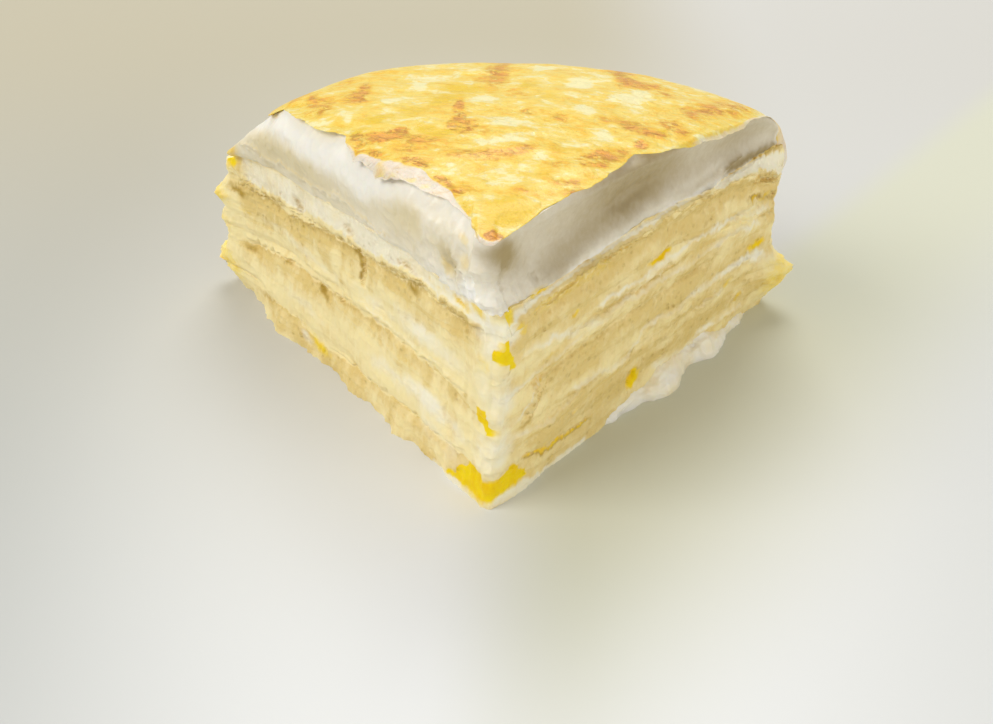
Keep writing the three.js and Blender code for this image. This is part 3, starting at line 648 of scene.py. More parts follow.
def closeSheet(name, floor, wall, roof, shades):
    # the lower face, the wall and the upper face as one sheet, whose caps keep the shades of their edges
    rings = spilled(np.array(floor + wall + roof))
    rings[..., 2] = np.maximum(rings[..., 2], 0)
    marks = {}
    for key, rows in shades.items():
        marks[key] = np.array([rows[0]] * len(floor) + rows + [rows[-1]] * len(roof))
    return wrapSheet(name, rings, marks)


def belowDome(height, clear):
    return lambda x, y: np.minimum(height(x, y), domeHeight(x, y) + clear)


def makeLayer(i, kind):
    # crepe i, or the cream under it
    bottom = (lambda x, y: crepeUnder(i, x, y)) if kind == "crepe" else (lambda x, y: crepeTop(i + 1, x, y))
    radius = lambda t: np.minimum(bodyRadius(stack[i][1][0], t), radiusUnderDome(bottom, t) - 0.2)
    walk = walkRound(radius)
    x, y = walk["x"], walk["y"]
    own = standOf(i, kind, walk)
    tongue = np.zeros_like(own)
    if kind == "crepe":
        low = lambda x, y: crepeUnder(i, x, y) - tongueDroop(i, x, y)
        high = lambda x, y: crepeTop(i, x, y) - tongueDroop(i, x, y)
        over = standOf(i - 1, "cream", walk)
        under = standOf(i, "cream", walk) if i < 11 else own
        edge = walk["rim"] + walk["left"] * ease(walk["u"], *layerLook["tongueLeft"])
        edge = edge + walk["right"] * ease(walk["u"], *layerLook["tongueRight"])
        tongue = edge * tongueReach(i, walk["t"]) * (1 + 0.35 * torn(x, y, i * 5.0, 2.4, 36))
        ragged = 0.6 * np.sin(walk["t"] * 29 + i) + roughen(layerLook["ragged"], x, y, i * 7.0)
        own = own + tongue + walk["rim"] * ragged * rimCalm(walk)
        over = np.where(walk["rim"] > 0.5, own, over) if i > 2 else over
    else:
        overlap = stack["overlap"]
        low = lambda x, y: crepeTop(i + 1, x, y) - overlap
        high = lambda x, y: crepeUnder(i, x, y) + overlap
        over = standOf(i, "crepe", walk)
        under = standOf(i + 1, "crepe", walk)
    over, under = mix(over, own, walk["rim"]), mix(under, own, walk["rim"])
    low, high = belowDome(low, 0.3), belowDome(high, 0.45)

    def outOf(w, level):
        # the stand fades into the neighbours' at the joints
        toOver, toUnder = (ease(part, 1 - layerLook["soft"], 1) for part in (w, 1 - w))
        return own + (over - own) / 2 * toOver + (under - own) / 2 * toUnder + spreadOut(walk, level)

    def paint(found, u, v, level):
        # cream is dragged over the crepes in patches that run along the face
        cover = 0.5 + 0.5 * cloud(x * 0.35, y * 0.35, level, 2.1, 14) + 0.25 * cloud(x, y, level, 1.4, 15)
        base = walk["left"] * layerLook["crumb"][kind][0] + walk["right"] * layerLook["crumb"][kind][1]
        drip = roughen(layerLook["drip"], x, y, level) * walk["left"]
        crumb = base * (1.5 - cover) + 0.4 * (0.5 - cover) + drip
        stretched = tongue + spill(x, y, level)[1]
        crumb = mix(crumb, layerLook["rimCrumb"][kind], walk["rim"]) - np.clip(stretched / 2.5, 0, 0.9)
        found["crumb"] = crumb + found["crumb"]
        found["milk"] = found["milk"] * (0.7 + 0.6 * cover)
        found["yolk"] = found["yolk"] + np.clip(stretched / 4, 0, layerLook["tongueYolk"])

    rough = lambda w, level: crumble(walk, level)
    wall, shades = layerWall(walk, low, high, layerLook["rows"][kind], outOf, rough, paint, 0.6)
    roof = capRings(wall[-1], high, layerLook["shelf"], layerLook["inner"])
    floor = capRings(wall[0], low, layerLook["shelf"], layerLook["inner"])[::-1]
    return closeSheet(f"{kind}_{i:02d}_look", floor, wall, roof, shades)


# the thick cream under the top crepe
thick = {
    "rows": 44, "swell": 1.1, "cornerSwell": 0.9, "lip": 0.5, "lipHeight": 0.12, "scoop": 2.0,
    "noseRound": 2.8, "lift": 0.62,
    "lumps": ((cloud, 0.2, 8, 9, 1), (cloud, 0.1, 3, 10, 1)),
    "wet": ((cloud, 0.28, 3.4, 37, 1), (torn, 0.14, 1.6, 38, 1)),      # on the left face
    "curds": ((torn, 0.9, 2.6, 39, 0.7), (torn, 0.5, 1.2, 57, 1)),     # at the nose
    # how far the upper edge draws back over the left and right face, by the distance from the nose
    "leftShoulder": ([0, 3, 7, 14, 18, 24, 45, 55, 66, 80],
                     [0.2, 0.9, 1.9, 2.0, 1.5, 1.2, 2.4, 2.0, 1.4, 0.3]),
    "rightShoulder": ([0, 8, 20, 27, 33, 39, 50, 80], [0, 0.2, 0.9, 1.7, 2.8, 1.2, 0.4, 0.4]),
    "thinCreamShade": 0.43,              # painted shade on the right face, where the cream is also thin and shows the crepe through it
    # where that painted shade deepens, under the top crepe's edge and tip, and where it lifts, by the lip
    # and at the nose's foot
    "thinCreamShadeMarks": [
        (0.42, 31, 51.5, 14, 5.5), (0.2, 14, 47, 7, 5), (0.2, 60, 49, 14, 3), (0.25, 0.5, 51, 4.5, 3),
        (-0.25, 0, 41, 9, 5),
        (-0.4, 1.2, 1.2, [(0, 39), (10, 40.4), (20, 41), (30, 41.4), (40, 41.6), (50, 40.6), (58, 42.6)]),
        (-0.12, 2.0, 2.0, [(20, 42.5), (40, 44), (56, 46)]),
    ],
    # crumb tone painted over the right face, as painted warm shade from bounced light
    "warm": 0.3,
    "lowBand": [
        (0.65, 3.4, 12, [(20, 48.6), (27, 45.2), (35, 42.2), (50, 40.6), (65, 38.6), (85, 34.6)]),
        (0.2, 14, 45, 6, 4), (0.3, 66, 42, 14, 4), (0.5, 8, 47, 16, 12), (0.25, 62, 40, 20, 4),
    ],
    "shelf": (0.3, 0.7, 1.2, 1.8, 2.5, 3.3, 4.2, 5.2, 6.3, 7.5, 8.8, 10.2, 11.8, 13.6, 15.6, 18, 21),
    "inner": (0.4,), "underShelf": (0.5, 2, 6), "underInner": (0.5,),
}


def creamDome(x, y):
    return domeHeight(x, y) + thick["lift"]


def makeThickCream():
    low = lambda x, y: crepeTop(2, x, y) - stack["overlap"]
    radius = lambda t: np.minimum(bodyRadius(dome["height"], t), radiusUnderDome(low, t))
    walk = walkRound(radius, thick["noseRound"])
    under = standOf(2, "crepe", walk) * (1 - walk["rim"])

    def roll(w):
        # how far each cut face stands out, at share w of its height
        merge = ease(walk["u"], 3, 14)
        plump = mix(0.4, 1, merge) + thick["cornerSwell"] * ease(walk["u"], 60, 78)
        left = 0.6 * (1 - w) * merge + thick["swell"] * np.sin(np.pi * w) * plump
        hollow = mix(0.2, 1, ease(walk["u"], 0, 13) * (1 - ease(walk["u"], 68, 80)))
        scoop = thick["scoop"] * hollow * np.sin(np.pi * w ** 0.8) ** 1.2
        right = thick["lip"] * merge * bump(w, 0, thick["lipHeight"]) - scoop
        left = left - np.interp(walk["u"], *thick["leftShoulder"]) * ease(w, 0.65, 1) ** 2
        right = right - np.interp(walk["u"], *thick["rightShoulder"]) * ease(w, 0.8, 1) ** 2
        return walk["left"] * left + walk["right"] * right

    def outOf(w, level):
        return roll(w) + (under - roll(0)) * 0.5 * ease(1 - w, 0.9, 1)

    def rough(w, level):
        place = walk["x"], walk["y"], level
        curdyRight = walk["right"] * bump(walk["u"], 0, 7) * (1 - ease(w, 0.3, 0.7))
        curdy = (walk["left"] * bump(walk["u"], 0, 15) + curdyRight) * (1 - w * w)
        lumps = roughen(thick["lumps"], *place) + roughen(thick["wet"], *place) * walk["left"]
        return lumps + roughen(thick["curds"], *place) * curdy

    def paint(found, u, v, level):
        # the left face takes its beige low band; the right face takes a painted warm shade
        warm = walk["left"] * drawMarks(thick["lowBand"], u, v) + walk["right"] * thick["warm"]
        # painted shade: the right face takes the brown tone, deepest under the top crepe's edge
        thinCreamShade = walk["right"] * (thick["thinCreamShade"] + drawMarks(thick["thinCreamShadeMarks"], u, v))
        found["crumb"] = warm + found["crumb"] * 0.6
        found["brown"] = thinCreamShade + found["brown"]
        for key in ("yolk", "milk"):
            found[key] = found[key] * 0.8

    wall, shades = layerWall(walk, low, creamDome, thick["rows"], outOf, rough, paint)
    roof = capRings(wall[-1], creamDome, thick["shelf"], thick["inner"])
    floor = capRings(wall[0], low, thick["underShelf"], thick["underInner"])[::-1]
    return closeSheet("cream_01_look", floor, wall, roof, shades)


# the browned top crepe. Spots are (amount, x, distance from the nose, half-width, half-height).
skin = {
    "lift": 0.62, "thickness": 0.75, "strip": 2.0, "feather": 0.2, "droop": 1.1,
    "featherReach": (5.0, 6.5), "edgeRound": 0.35, "warp": 1.1,
    # swellings and wrinkles, each (amount, share of x, size, seed)
    "wrinkles": ((0.35, 1, 13, 20), (0.16, 0.5, 5, 21), (0.17, 0.3, 2.3, 22), (0.08, 0.45, 1.1, 23)),
    "uneven": ((cloud, 0.3, 2.2, 58, 1), (torn, 0.2, 1.1, 59, 1)),
    "tear": ((cloud, 0.6, 3, 24, 1), (cloud, 0.35, 1.1, 25, 1)),
    # how far the edge stands out over the cut faces: places from the nose, amounts
    "leftEdge": ([0, 2, 4, 8, 12, 18, 25, 28, 34, 38, 41, 46, 51, 60],
                 [0.3, 0.3, -0.8, -1.5, -1.5, -0.4, 1.2, 1.4, 1.1, -0.2, -1.6, -0.8, -0.3, -0.9]),
    "rightEdge": ([0, 6, 11, 15, 20, 28, 34, 38, 46, 55, 62, 68, 80],
                  [0.2, 0.2, -0.7, -0.7, 0, -0.8, -2.4, 0, 1.0, 1.1, 0.6, 0, -1.0]),
    # how wide the pale torn lip of the left edge is
    "lip": ([0, 5, 8, 13, 17, 21, 26, 29, 34, 40], [0.4, 0.5, 1.0, 2.4, 3.2, 3.4, 2.8, 1.6, 1.0, 0.4]),
    "leftCorner": 68.8, "rim": 83.2, "ragged": 0.8, "rows": 5, "rings": 96, "crowding": 1.15,
    "underInner": (0.0, 0.4, 0.75), "underShelf": (4.0, 1.5, 0.5),
    "brown": [
        (0.8, -29.4, 46.4, 2.6, 5), (0.9, -24.6, 49.7, 1.8, 5), (0.9, -23.5, 54, 1.4, 5),
        (0.7, -32.5, 50, 1.6, 6), (0.7, -36, 60, 2.2, 8), (0.5, -28, 60, 2, 5),
        (1.2, -22.7, 32.4, 1.2, 1.6), (1.0, -19.8, 30.8, 2.2, 2.0), (0.9, -17, 31.5, 2.5, 1.8),
        (1.0, -15.4, 32.4, 1.8, 1.6), (1.2, -6.0, 42, 1.0, 4.5), (0.9, -6.3, 36, 1.4, 3.5),
        (0.5, -4, 34, 2, 3), (0.8, -0.5, 59, 2.8, 6), (0.8, 1.0, 68, 2.4, 7), (0.8, 5, 75, 3, 5),
        (0.5, 3.5, 52, 2.5, 3.5), (0.6, 10.5, 37.5, 2.2, 2.6), (0.5, 15, 48, 3, 1.4), (0.4, 6, 40, 2.4, 2),
        (1.0, 23.4, 68, 2.6, 6), (1.1, 24.6, 59, 3.0, 4), (0.7, 29, 57, 3, 3), (0.6, 31, 53, 4, 1.6),
        (1.1, 22.7, 35.8, 2.6, 2.4), (1.0, 25.6, 32.6, 2, 1.6), (0.8, 28.7, 38, 2.6, 3),
        (0.7, 18.8, 38.5, 2.4, 1.6), (1.2, 23.6, 28.9, 1.4, 1.0), (0.9, 36.2, 46.2, 3, 4),
        (0.9, 40.4, 49.6, 3, 4), (0.8, 33, 43, 2, 4), (0.8, 44, 53, 3, 4), (0.8, 30.5, 36.5, 2.2, 2),
        (1.0, 15.0, 21.7, 2.6, 2.2), (1.0, 17.3, 24.4, 2.2, 1.8), (0.8, 20, 27, 1.6, 1.6),
        (0.7, 9, 20.5, 2.2, 1.6), (0.8, 10.6, 15.1, 2.6, 1.4), (0.9, 11.4, 12.6, 1.6, 1.2),
        (0.45, -10, 26, 5, 3.2), (0.45, -4, 22.5, 6, 2.4), (0.45, 2, 24.5, 6, 2.2), (0.35, 8, 26, 3, 2),
        (0.4, -3.2, 13, 3, 1.4), (0.4, 3.6, 12, 4, 1.2), (0.4, -3, 31, 4, 2.2), (0.3, 4, 40, 4, 3),
        (0.5, -12.5, 29.8, 3, 1.8), (0.4, -14, 27, 2.5, 2.5), (3.0, 0.5, 1.7, 1.3, 1.2),
    ],
    "yolk": [
        (1.2, -19.2, 38.4, 2.2, 2.2), (1.1, -11.4, 33.8, 2.0, 1.5), (1.2, -9.0, 32.0, 2.2, 1.6),
        (0.7, -9.7, 45.8, 2.0, 2.5), (0.8, -22.1, 34.8, 2, 1.6), (0.7, 9, 48, 2.6, 2.5),
        (0.7, -4.5, 53.6, 3, 4), (0.6, -8, 50, 4, 5), (0.9, 0.7, 6, 2.6, 2.6), (0.9, 3.5, 6, 2.4, 2.2),
        (0.5, 3, 9, 4, 2), (0.8, 6.5, 55, 2.5, 2.5), (0.6, -14, 41, 3, 3), (0.6, -6, 33, 2, 2),
        (0.6, 27, 34, 1.5, 1.5), (0.4, 6.5, 33.5, 4, 3), (0.4, 10, 26, 4, 2.2), (0.4, 6, 18, 5, 2),
        (-2, 0.5, 1.7, 1.6, 1.4),
    ],
    # pale patches: partly paler crepe, partly painted highlights on its glossy face
    "milk": [
        (0.9, -13.6, 55.1, 1.6, 3), (0.5, -12, 60, 2.5, 3), (0.5, -17.9, 46.2, 1.5, 2),
        (0.9, -24.8, 39.3, 1.0, 1.2), (1.0, 15.4, 56.7, 2.2, 3.2), (0.6, 13.7, 50.1, 1.6, 1.5),
        (0.5, -1.4, 46, 2.5, 2.5), (0.7, 6.4, 22.4, 2.8, 1.0), (0.9, 14.8, 42.5, 2.2, 2.4),
        (0.7, 16.6, 32.5, 1.6, 2), (0.5, 0.7, 15.8, 4, 1.6), (0.5, -3, 17.4, 4, 1.2),
        (0.5, 25.7, 50.6, 3, 2.5), (0.4, 38, 58.5, 3, 3), (0.6, 9.3, 66, 2.4, 4), (0.8, -1, 80, 7, 3),
        (0.7, -1.2, 26.5, 2.6, 1.0), (0.6, 3, 28.5, 2.6, 1.2), (0.5, -5, 29, 2, 1),
        (0.8, 33.6, 35.8, 1.6, 1.0), (0.4, 2, 36, 3, 2), (0.4, 19, 48, 3, 2),
    ],
}


def skinHeight(x, y):
    r, _ = polar(x, y)
    folds = 0
    for amount, share, size, seed in skin["wrinkles"]:
        folds = folds + amount * cloud(x * share, y, 0, size, seed)
    return folds * np.minimum(r / 8, 1)


def makeSkin():
    def reach(t):
        # from the nose line to the crepe's edge
        wavy = skin["ragged"] * np.sin(t * 23) * np.sin(t * np.pi)
        return mix(skin["leftCorner"], skin["rim"], ease(t, 0.02, 0.24)) + wavy

    walk = walkRound(reach)
    u = walk["u"]
    tear = roughen(skin["tear"], walk["x"], walk["y"], 3)
    onLeft = np.interp(u, *skin["leftEdge"]) + tear
    onRight = np.interp(u, *skin["rightEdge"]) + tear * 0.5
    flap = walk["left"] * ease(u, 2, 8) * (1 - ease(u, 34, 42))      # torn thin edge on the left
    sharp = np.maximum(flap, walk["left"] * ease(u, 34, 40))
    # a strip hangs down the rim's right corner
    strip = (walk["right"] + walk["rim"] * bump(walk["t"], 1, 0.03)) * ease(u, 74, 81)
    edge = np.clip(sharp + walk["right"] * (1 - strip), 0, 1)        # where the sheet thins to a feather
    out = walk["left"] * onLeft + walk["right"] * (onRight + strip) + walk["rim"] * tear
    x, y = pushOut(walk, out, dome["height"])
    span = np.hypot(x, y - wedge["hubY"])

    def sheet(inset, lift, scale=None):
        # a ring of the crepe, that far in from its edge and that far off the dome
        px, py = towardsHub(x, y, 1 - inset / span if scale is None else scale)
        step = 0.05
        slopeX = (domeHeight(px + step, py) - domeHeight(px - step, py)) / (2 * step)
        slopeY = (domeHeight(px, py + step) - domeHeight(px, py - step)) / (2 * step)
        size = np.sqrt(slopeX ** 2 + slopeY ** 2 + 1)
        droop = 0
        if scale is None:
            droop = skin["droop"] * np.maximum(out - 0.2, 0) * (1 - ease(inset, 0, np.maximum(out, 0.3)))
        rise = domeHeight(px, py) + lift / size - droop
        return np.stack([px - slopeX / size * lift, py - slopeY / size * lift, rise], -1)

    # its underside from the middle outwards, its edge, and its upper side from the edge inwards
    rings = [sheet(0, skin["lift"], scale) for scale in skin["underInner"]]
    base = skin["lift"] - skin["strip"] * strip
    for inset in skin["underShelf"]:
        rings.append(sheet(inset, base))
    top = skin["lift"] + skin["thickness"] * mix(1.0, skin["feather"], edge)
    for w in np.arange(skin["rows"] + 1) / skin["rows"]:
        edgeInset = skin["edgeRound"] * (1 - math.sin(math.pi * (0.15 + 0.7 * w)))
        rings.append(sheet(edgeInset, mix(base, top, w)))
    under = len(rings)
    for j in range(1, skin["rings"] + 1):
        scale = 1 - (j / skin["rings"]) ** skin["crowding"]
        inset = np.maximum((1 - scale) * span, edgeInset)
        full = ease(inset, 0.3, mix(*skin["featherReach"], walk["right"]))
        thin = mix(1, mix(skin["feather"], 1, full), edge)
        ring = sheet(inset, skin["lift"] + skin["thickness"] * thin)
        ring[:, 2] += skinHeight(ring[:, 0], ring[:, 1]) * ease(inset, 0, 2.5)
        rings.append(ring)
    rings = np.array(rings)
    px, py = rings[..., 0], rings[..., 1] - wedge["noseY"]
    wx = px + skin["warp"] * cloud(px, py, 1, 3, 26)
    wy = py + skin["warp"] * cloud(px, py, 2, 3, 27)
    marks = {key: drawMarks(skin[key], wx, wy) for key in ("brown", "yolk", "milk")}
    marks["brown"] = marks["brown"] * (0.85 + roughen(skin["uneven"], px, py, 8))
    inset = (1 - np.hypot(px, rings[..., 1] - wedge["hubY"]) / span) * span
    lip = np.interp(u, *skin["lip"]) + 0.7 * cloud(px, py, 5, 2.6, 52)
    pale = 0.8 + 0.35 * cloud(px, py, 7, 1.8, 54)
    marks["crumb"] = flap * (1 - ease(inset, lip - 0.4, lip + 0.5)) * pale
    curled = walk["right"] * ease(u, 42, 48) + 1.4 * bump(u, 0, 3)
    marks["crumb"] = marks["crumb"] + 0.6 * curled * (1 - ease(inset, 0.2, 1.1))
    scorched = bump(inset, lip + 1.0, 1.2) * (0.6 + cloud(px, py, 6, 2.6, 53))
    marks["brown"] = marks["brown"] + 0.8 * flap * scorched
    marks["crumb"][:under] = np.maximum(marks["crumb"][:under], 0.9 * flap + 0.85 * strip)
    return wrapSheet("crepe_01_look", rings, marks)


# the cream squeezed out along the foot of the right face
foot = {
    "from": 29, "to": 78, "clear": -0.6, "width": 3.6, "height": 4.6, "stations": 240, "around": 34,
    "yolk": 0.36, "lobes": ((0.35, 47, 4), (-0.35, 39, 3), (-0.2, 56, 4)),
    # streaks along it: height here runs from 0 at its top to 10 at the floor
    "streaks": [
        (0.25, 0.7, 0.7, [(57, 5), (66, 4.4), (73, 5)]), (0.25, 0.7, 1.0, [(51, 4), (56, 5.4)]),
        (0.15, 0.5, 0.5, [(32, 5), (46, 4)]),
    ],
}


def makeFoot():
    part = np.arange(foot["stations"] + 1)[:, None] / foot["stations"]
    u = mix(foot["from"] - 1.5, foot["to"] + 1, part)
    angle = np.pi * np.arange(foot["around"])[None, :] / (foot["around"] - 1)
    fill = np.maximum(np.sin(np.pi * part), 0.004) ** 0.6
    lobes = 1 + 0.25 * np.sin(u * 0.33)
    for amount, at, reach in foot["lobes"]:
        lobes = lobes + amount * bump(u, at, reach)
    width = foot["width"] * fill * lobes
    height = foot["height"] * fill * (1 + 0.12 * np.sin(u * 0.41 + 1) + 0.1 * cloud(u, 0, 0, 3, 30))
    out = foot["clear"] + width * (1 - np.abs(np.cos(angle / 2)) ** 1.6)
    up = height * np.cos(angle / 2) ** 0.9
    face = wedge["rightFace"]
    along, away = (math.sin(face), math.cos(face)), (math.cos(face), -math.sin(face))
    rough = 0.42 * cloud(u, out, up, 2.6, 31) + 0.22 * torn(u * 0.6, out, up, 1.3, 32)
    out = out + rough * np.sin(angle / 2)
    x = along[0] * u + away[0] * out
    y = along[1] * u + away[1] * out + wedge["noseY"]
    rings = np.stack([x, y, np.maximum(up + rough * np.cos(angle / 2), 0)], -1)
    rings[0], rings[-1] = rings[0].mean(0), rings[-1].mean(0)
    marks = {key: np.zeros(rings.shape[:2]) for key in markNames}
    marks["yolk"] += foot["yolk"] + 0.15 * cloud(u, out, up, 3, 44)
    marks["brown"] += drawMarks(foot["streaks"], u, angle / np.pi * 10 + cloud(u, out, up, 2.5, 45))
    return wrapSheet("cream_foot_look", rings, marks)


class Wire:
    # a socket of a material, so that sums on it read as plain maths
    def __init__(self, tree, socket):
        self.tree, self.socket = tree, socket

    def join(self, operation, first, second):
        node = self.tree.nodes.new("ShaderNodeMath")
        node.operation = operation
        for socket, value in zip(node.inputs, (first, second)):
            plug(self.tree, socket, value)
        return Wire(self.tree, node.outputs[0])

    def __add__(self, other):
        return self.join("ADD", self, other)

    def __radd__(self, other):
        return self.join("ADD", other, self)

    def __sub__(self, other):
        return self.join("SUBTRACT", self, other)

    def __rsub__(self, other):
        return self.join("SUBTRACT", other, self)

    def __mul__(self, other):
        return self.join("MULTIPLY", self, other)

    def __rmul__(self, other):
        return self.join("MULTIPLY", other, self)

    def size(self):
        return self.join("ABSOLUTE", self, 0.0)


def plug(tree, socket, value):
    if isinstance(value, Wire):
        tree.links.new(value.socket, socket)
    else:
        socket.default_value = value


class Finish:
    # one material and its nodes
    def __init__(self, name):
        self.material = bpy.data.materials.new(name)
        self.material.use_nodes = True
        self.tree = self.material.node_tree
        self.tree.nodes.clear()
        self.place = self.node("TexCoord", output="Object")

    def node(self, kind, settings=None, sockets=None, output=0):
        node = self.tree.nodes.new("ShaderNode" + kind)
        for key, value in (settings or {}).items():
            setattr(node, key, value)
        for key, value in (sockets or {}).items():
            plug(self.tree, node.inputs[key], value)
        return Wire(self.tree, node.outputs[output]) if len(node.outputs) else None

    def mark(self, name):
        return self.node("Attribute", {"attribute_name": name}, output="Fac")

    def noise(self, scale, detail=3, rough=0.55, stretch=(1, 1, 1), wavy=0.0, turn=0.0):
        turned = self.node("Mapping", sockets={"Vector": self.place, "Rotation": (0, 0, turn)})
        place = self.node("Mapping", sockets={"Vector": turned, "Scale": stretch})
        return self.node("TexNoise", sockets={
            "Vector": place, "Scale": scale, "Detail": detail, "Roughness": rough, "Distortion": wavy})

    def cells(self, scale):
        return self.node("TexVoronoi", sockets={"Vector": self.place, "Scale": scale})

    def step(self, value, low, high):
        sockets = {"Value": value, "From Min": low, "From Max": high}
        return self.node("MapRange", {"interpolation_type": "SMOOTHSTEP"}, sockets)

    def blend(self, mask, under, over):
        return self.node("Mix", {"data_type": "RGBA"}, {0: mask, 6: under, 7: over}, output=2)

    def shade(self, look, colour, roughness, height, bumpSize):
        bumpNode = self.node("Bump", sockets={"Strength": 1.0, "Distance": bumpSize, "Height": height})
        surface = self.node("BsdfPrincipled", {"subsurface_method": "RANDOM_WALK"}, {
            "Base Color": colour, "Roughness": roughness, "Normal": bumpNode,
            "Subsurface Weight": look["through"], "Subsurface Radius": look["radius"],
            "Subsurface Scale": look["depth"], "IOR": 1.4, "Specular IOR Level": look["gloss"],
            "Coat Weight": look["coat"], "Coat Roughness": 0.25,
        })
        self.node("OutputMaterial", sockets={"Surface": surface})
        return self.material


def sway(noise, amount):
    # a noise that swings as far below nothing as above it
    return (noise - 0.5) * amount


def tone(red, green, blue):
    # a colour as a picture shows it, 0 to 255, made linear
    return tuple((v / 255) ** 2.2 for v in (red, green, blue)) + (1.0,)


# the cut layers, and the thick cream, which is whiter, wetter and smoother
cutLook = {
    "cream": tone(254, 234, 176), "crumb": tone(234, 207, 135), "brown": tone(176, 142, 46),
    "yolk": tone(255, 220, 2), "amber": tone(250, 206, 0), "milk": tone(255, 245, 218),
    "through": 0.3, "radius": (1.0, 0.85, 0.6), "depth": 0.0004, "gloss": 0.3, "coat": 0.0, "grain": 1.0,
    "relief": 0.00035,
}
# the thick cream's brown is the tone of the painted shade on its right face, and of its stains
thickLook = {
    **cutLook, "cream": tone(251, 246, 234), "crumb": tone(227, 212, 170), "brown": tone(152, 128, 66),
    "yolk": tone(246, 214, 96), "amber": tone(236, 196, 90), "milk": tone(255, 251, 241),
    "depth": 0.0006, "gloss": 0.6, "coat": 0.35, "grain": 0.3,
}


def cutFinish(name, look, rough):
    finish = Finish(name)
    crumb, yolk, brown, milk = (finish.mark(key) for key in ("crumb", "yolk", "brown", "milk"))
    grain = look["grain"]
    fine = finish.noise(1100, 4, 0.65)
    drag = finish.noise(800, 3, 0.6, (1, 1, 0.18))
    patch = finish.noise(230, 4, 0.6)
    blot = finish.noise(90, 3, 0.5)
    pores = 1 - finish.step(finish.cells(620), 0.05, 0.32)
    crumbly = crumb + sway(patch, 0.9 * grain) + sway(fine, 0.5 * grain) + sway(drag, 0.4 * grain)
    crumbly = finish.step(crumbly, 0.0, 1.0)
    colour = finish.blend(crumbly, look["cream"], look["crumb"])
    milky = finish.step(milk + sway(patch, 0.8 * grain) + sway(blot, 0.5), 0.1, 1.0)
    colour = finish.blend(milky, colour, look["milk"])
    stained = finish.step(brown + sway(fine, 0.5 * grain) + sway(patch, 0.35 * grain), 0.0, 1.0)
    colour = finish.blend(stained * 0.9, colour, look["brown"])
    deep = finish.blend(finish.step(patch + sway(drag, 0.5), 0.4, 0.7), look["yolk"], look["amber"])
    mellow = finish.step(yolk + sway(fine, 0.5 * grain) + sway(patch, 0.4 * grain), 0.15, 0.9)
    colour = finish.blend(mellow, colour, deep)
    # painted shade in the pores, deeper where the crumb is
    colour = finish.blend(pores * crumbly * (0.2 * grain), colour, look["brown"])
    height = fine * 0.6 * (0.3 + crumbly) - pores * crumbly * 0.6 + patch * 0.4 + drag * 0.3
    return finish.shade(look, colour, rough + fine * 0.2, height, look["relief"] * grain)


# the browned face of the top crepe, from its palest to its darkest, and its torn edge
skinLook = {
    "pale": tone(251, 238, 176), "base": tone(249, 215, 94), "gold": tone(248, 197, 54),
    "lace": tone(248, 176, 56), "dark": tone(236, 152, 44), "thread": tone(228, 146, 66),
    "yolk": tone(238, 198, 6), "torn": tone(242, 228, 208), "stain": tone(226, 186, 118),
    "through": 0.3, "radius": (1.0, 0.75, 0.5), "depth": 0.0003, "gloss": 0.5, "coat": 0.4,
    "relief": 0.0008,
}


def skinFinish(name, look):
    finish = Finish(name)
    brown, yolk, milk, lip = (finish.mark(key) for key in ("brown", "yolk", "milk", "crumb"))
    blot = finish.noise(230, 4, 0.62, (0.85, 1, 0.3), 0.5, 0.35)
    smear = finish.noise(440, 4, 0.65, (0.65, 1.1, 0.3), 0.8, 0.35)
    fleck = finish.noise(760, 4, 0.7, (0.8, 1.2, 0.3))
    streak = finish.noise(560, 4, 0.6, (0.5, 1.2, 0.3), 1.4, 0.35)
    crinkled = 0.4 + brown * 1.4
    heat = brown * 0.7 + sway(blot, 1.7) + sway(smear, 1.2) + sway(fleck, 1.7) * crinkled
    # the pale patches, partly painted highlights, push the colour towards the palest tone
    heat = heat + sway(streak, 1.0) * crinkled - milk * 0.6 + 0.12
    colour = finish.blend(finish.step(heat, -0.3, 0.15), look["pale"], look["base"])
    colour = finish.blend(finish.step(heat, 0.15, 0.5), colour, look["gold"])
    colour = finish.blend(finish.step(heat, 0.5, 0.9), colour, look["lace"])
    colour = finish.blend(finish.step(heat, 1.05, 1.7) * 0.4, colour, look["dark"])
    mellow = finish.step(yolk + sway(blot, 1.1) + sway(smear, 0.9), 0.1, 0.95)
    colour = finish.blend(mellow * 0.85, colour, look["yolk"])
    crease = 1 - finish.step((streak - 0.5).size(), 0.0, 0.035)
    baked = finish.step(brown + sway(blot, 1.2) + sway(fleck, 0.8), 0.25, 0.9)
    colour = finish.blend(crease * baked * 0.45, colour, look["thread"])
    vein = finish.noise(1250, 4, 0.6, (0.6, 1.2, 0.3), 1.2, 0.35)
    threads = 1 - finish.step((vein - 0.5).size(), 0.0, 0.04)
    colour = finish.blend(threads * baked * 0.7, colour, look["thread"])
    stain = finish.step(fleck + sway(blot, 0.8), 0.5, 0.75)
    stained = finish.blend(stain * 0.5, look["torn"], look["stain"])
    colour = finish.blend(finish.step(lip + sway(fleck, 0.6), 0.3, 0.8), colour, stained)
    height = fleck * 0.6 + blot * 0.5 + smear * 0.6 - crease * baked * 0.3 - streak * 0.5
    return finish.shade(look, colour, 0.32 + fleck * 0.25, height, look["relief"])


def dress(piece, material, node):
    # a finished piece takes its material and its place in the part
    piece.data.materials.clear()
    piece.data.materials.append(material)
    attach(piece, "root")
    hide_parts(node)


